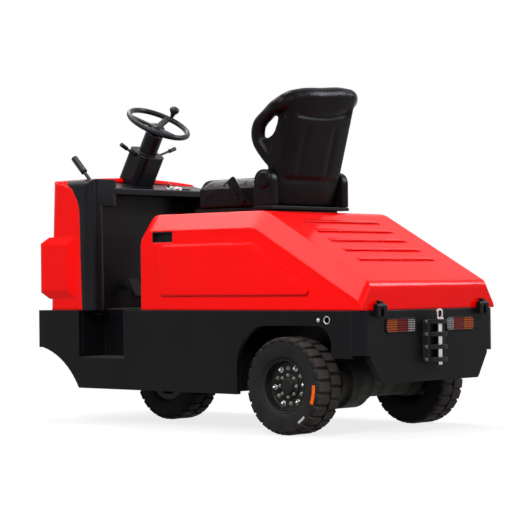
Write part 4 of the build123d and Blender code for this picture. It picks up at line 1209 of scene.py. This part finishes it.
for side in (1, -1):
    web = bmesh.new()
    spots = [on_back(side * (web_foot + web_flare * along), along, deep) for along, deep in web_outline]
    grow(web, [web.verts.new(place) for place in spots], (0, side * web_thick, 0))
    shift(web, (0, -side * web_thick / 2, 0))
    bmesh.ops.recalc_face_normals(web, faces=web.faces)
    webs.append(web)
back = moulded("seat_back_moulding", [shell, tube, *webs], 0.006, 26)
edge_wrap, wrap_half = 0.016, 0.23
crease_along, crease_bow, crease_deep, crease_half = 0.445, 0.02, 0.013, 0.010
fold_along, fold_deep, fold_half = 0.128, 0.010, 0.012
flute_across, flute_deep, flute_half = 0.105, 0.004, 0.014
roll_lean = 0.075


def ramp(value, start, end):
    """0 before the start, 1 past the end, and straight between."""
    return max(0.0, min(1.0, (value - start) / (end - start)))


def groove(offset, half):
    """The depth of a soft groove at a distance from its middle."""
    return math.exp(-((offset / half) ** 2))


for v in back.data.vertices:
    from_foot = v.co - back_foot
    along, deep = from_foot.dot(back_up), from_foot.dot(back_ahead)
    out = abs(v.co.y)
    inside = ramp(out, 0.20, 0.17)
    wrap = edge_wrap * min(1.0, out / wrap_half) ** 3
    bow = crease_bow * (v.co.y / 0.2) ** 2
    crease = crease_deep * groove(along - crease_along - bow, crease_half) * inside
    fold = fold_deep * groove(along - fold_along, fold_half) * inside
    run = ramp(along, 0.13, 0.18) * ramp(along, 0.42, 0.37)
    flute = flute_deep * groove(out - flute_across, flute_half) * run
    sunk = ramp(deep, shell_depth, 0.0) * (wrap + crease + fold + flute)
    v.co += back_ahead * sunk - back_up * roll_lean * v.co.y * ramp(along, 0.36, 0.48)
settle(back)


def upholster(made, node):
    """A padded seat piece that rides on the hood in its CAD solid's place."""
    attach(made, "hood")
    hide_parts(node)


upholster(back, "seat_back")

# Hip restraints: a padded wing at each side of the cushion's rear, moulded in the same black.
# A round boss on its outer face covers the bolt that holds it.
boss_foot, boss_top, boss_height = 0.042, 0.036, 0.040
boss_out = 0.276
boss_x, boss_z = -0.271, 1.189


def solid_of(node):
    """A copy of a CAD solid, its loose triangles merged."""
    shape = bmesh.new()
    shape.from_mesh(nodes[node].data)
    bmesh.ops.remove_doubles(shape, verts=shape.verts, dist=1e-5)
    return shape


for side, word in ((1, "left"), (-1, "right")):
    boss = bmesh.new()
    add_peg(boss, 32, boss_foot, boss_top, boss_height, Matrix.Rotation(-pi / 2, 4, "X"))
    shift(boss, (0, boss_out, 0))
    stretch(boss, (1, side, 1))
    shift(boss, (boss_x, 0, boss_z))
    hip = moulded("hip_pad_" + word, [solid_of("hip_restraint_" + word), boss], 0.004, 14)
    settle(hip)
    upholster(hip, "hip_restraint_" + word)

# Belt buckle: a flat black moulding on a stalk beside the cushion on the left.
# A slot goes through it, and its edges are rounded.
buckle_size = (0.050, 0.150, 1)
buckle_corner, buckle_thick, buckle_rounding = 0.010, 0.014, 0.003
slot_shares, slot_up = (0.45, 0.16, 1), 0.030
buckle_lean = radians(34)
buckle_place = (-0.075, 0.258, 1.142)
buckle = bmesh.new()
bmesh.ops.create_grid(buckle, x_segments=1, y_segments=1, size=0.5)
stretch(buckle, buckle_size)
round_off(buckle, buckle.verts, buckle_corner, 4, "VERTICES")
bmesh.ops.inset_region(buckle, faces=buckle.faces, thickness=buckle_corner, use_boundary=True)
middle_face = min(buckle.faces, key=lambda f: f.calc_center_median().length)
slot_middle = Matrix.Translation((0, slot_up, 0))
bmesh.ops.scale(buckle, verts=middle_face.verts, vec=slot_shares, space=slot_middle)
bmesh.ops.delete(buckle, geom=[middle_face], context="FACES_ONLY")
bmesh.ops.solidify(buckle, geom=buckle.faces, thickness=buckle_thick)
round_off(buckle, square_edges(buckle), buckle_rounding)
stand = Matrix.Rotation(buckle_lean, 4, "Y") @ Matrix.Rotation(pi / 2, 4, "X")
put(buckle, Matrix.Translation(buckle_place) @ stand)
make_piece("belt_buckle", buckle, seat_vinyl, "hood")

# Seat cushion: a block of foam under a tight black vinyl skin, swollen between its corners.
# It lies flat on the seat base and fills the space between the hip restraints.
cushion_shrink = 0.975
cushion_pressure = 4.0
swell_limit = 0.012
swell_frames = 20
cushion_floor = 1.0652
cushion = moulded("seat_cushion_pad", [solid_of("seat_cushion")], 0.006, 4)
settle(cushion)
bpy.context.view_layer.objects.active = cushion
start = [v.co.copy() for v in cushion.data.vertices]
middle = sum(start, Vector()) / len(start)
for v in cushion.data.vertices:
    v.co = middle + (v.co - middle) * cushion_shrink
foam = cushion.modifiers.new("foam", "CLOTH")
foam.settings.use_pressure = True
foam.settings.uniform_pressure_force = cushion_pressure
foam.settings.effector_weights.gravity = 0.0
foam.settings.quality = 5
foam.point_cache.frame_start = 1
foam.point_cache.frame_end = swell_frames
for step in range(1, swell_frames + 1):
    bpy.context.scene.frame_set(step)
settle(cushion)
bpy.context.scene.frame_set(1)
for v, rest in zip(cushion.data.vertices, start):
    swell = v.co - rest
    if swell.length > swell_limit:
        v.co = rest + swell * (swell_limit / swell.length)
    v.co.z = max(v.co.z, cushion_floor)
for face in cushion.data.polygons:
    face.use_smooth = True
upholster(cushion, "seat_cushion")

# Studio: a white floor that keeps the soft shadow, and a white world for the camera and reflections.
# Four soft lamps light the tug at a plain level.
# Two cards, one overhead and one behind the right side, show only as highlights in its gloss.


def plainly_seen(tree, path):
    """1 for what the camera sees, straight, in a reflection or through glass."""
    seen = maths(tree, "MAXIMUM", path["Is Camera Ray"], path["Is Glossy Ray"])
    return maths(tree, "MAXIMUM", seen, path["Is Transmission Ray"])


floor_size = 60.0
floor_shade = (0.14, 0.14, 0.14, 1.0)
floor_pale = (0.85, 0.85, 0.85, 1.0)
pure_white = (1.0, 1.0, 1.0, 1.0)
floor_mesh = bmesh.new()
bmesh.ops.create_grid(floor_mesh, x_segments=1, y_segments=1, size=floor_size)
floor_data = bpy.data.meshes.new("studio_floor")
floor_mesh.to_mesh(floor_data)
floor_mesh.free()
floor = bpy.data.objects.new("studio_floor", floor_data)
bpy.context.scene.collection.objects.link(floor)
floor_white, floor_tree, floor_shader = new_material("floor_white")
floor_tree.nodes.remove(floor_shader)
glow = add_node(floor_tree, "ShaderNodeEmission", {"Color": pure_white, "Strength": 1.0})
path = add_node(floor_tree, "ShaderNodeLightPath").outputs
tone = mixed(floor_tree, path["Is Camera Ray"], floor_shade, floor_pale)
matt = add_node(floor_tree, "ShaderNodeBsdfDiffuse", {"Color": tone})
floor_spot = add_node(floor_tree, "ShaderNodeTexCoord").outputs["Object"]
from_middle = add_node(floor_tree, "ShaderNodeVectorMath", {0: floor_spot}, operation="LENGTH")
whiteness = spread(floor_tree, from_middle.outputs["Value"], 1.3, 4.5, 0.80, 1.0)
share = maths(floor_tree, "MULTIPLY", plainly_seen(floor_tree, path), whiteness)
blend = add_node(
    floor_tree,
    "ShaderNodeMixShader",
    {0: share, 1: matt.outputs["BSDF"], 2: glow.outputs["Emission"]},
)
floor_tree.links.new(blend.outputs["Shader"], floor_tree.nodes["Material Output"].inputs["Surface"])
floor_data.materials.append(floor_white)

sky_strength = 0.60
world = bpy.data.worlds.new("studio")
bpy.context.scene.world = world
world.use_nodes = True
world_tree = world.node_tree
sky = world_tree.nodes["Background"]
sky.inputs["Color"].default_value = pure_white
sky.inputs["Strength"].default_value = sky_strength
backdrop = add_node(world_tree, "ShaderNodeBackground", {"Color": pure_white, "Strength": 1.0})
world_path = add_node(world_tree, "ShaderNodeLightPath").outputs
world_mix = add_node(
    world_tree,
    "ShaderNodeMixShader",
    {
        0: plainly_seen(world_tree, world_path),
        1: sky.outputs["Background"],
        2: backdrop.outputs["Background"],
    },
)
world_tree.links.new(world_mix.outputs["Shader"], world_tree.nodes["World Output"].inputs["Surface"])

for name, place, aim, size, power in (
    ("key_lamp", (-2.5, 5.5, 4.5), (0.0, 0.3, 0.6), 2.6, 370.0),
    ("rear_lamp", (-6.0, 0.5, 3.0), (-0.5, 0.0, 0.6), 3.0, 90.0),
    ("top_lamp", (0.5, -0.4, 5.5), (0.0, 0.0, 0.8), 1.4, 170.0),
    ("front_lamp", (3.4, -1.6, 4.6), (0.0, 0.0, 0.8), 2.0, 90.0),
):
    lamp_data = bpy.data.lights.new(name, "AREA")
    lamp_data.size = size
    lamp_data.energy = power
    lamp = bpy.data.objects.new(name, lamp_data)
    lamp.location = place
    lamp.rotation_euler = (Vector(aim) - Vector(place)).to_track_quat("-Z", "Y").to_euler()
    bpy.context.scene.collection.objects.link(lamp)

for name, place, turn, long, wide, power, colour in (
    ("overhead_card", (2.7, 2.7, 6.0), (0.0, 0.0, -23.4), 6.4, 2.4, 480.0, (1.0, 1.0, 1.0)),
    ("far_card", (-3.7, -4.3, 4.1), (65.2, 0.0, -37.4), 2.4, 2.4, 400.0, (0.82, 0.90, 1.0)),
):
    card_data = bpy.data.lights.new(name, "AREA")
    card_data.shape = "RECTANGLE"
    card_data.size = long
    card_data.size_y = wide
    card_data.energy = power
    card_data.color = colour
    card = bpy.data.objects.new(name, card_data)
    card.location = place
    card.rotation_euler = [radians(angle) for angle in turn]
    card.visible_diffuse = False
    bpy.context.scene.collection.objects.link(card)

# Camera: it stands behind the tug on its left, lower than the hood's top, with a long lens.
# It looks almost level and leans a little to one side.
camera_place = (-6.6367, 7.2599, 0.7050)
yaw, pitch, roll = radians(42.516), radians(0.616), radians(-0.602)
camera_data = bpy.data.cameras.new("camera")
camera_data.sensor_width = 36.0
camera_data.lens = 137.17
camera_data.clip_end = 200.0
camera = bpy.data.objects.new("camera", camera_data)
bpy.context.scene.collection.objects.link(camera)
ahead = Vector((sin(yaw) * cos(pitch), -cos(yaw) * cos(pitch), sin(pitch)))
right = ahead.cross(Vector((0, 0, 1))).normalized()
up = right.cross(ahead)
rolled_right = cos(roll) * right + sin(roll) * up
rolled_up = -sin(roll) * right + cos(roll) * up
turned = Matrix((rolled_right, rolled_up, -ahead)).transposed()
camera.matrix_world = Matrix.Translation(camera_place) @ turned.to_4x4()
bpy.context.scene.camera = camera
bpy.context.scene.view_settings.view_transform = "Standard"
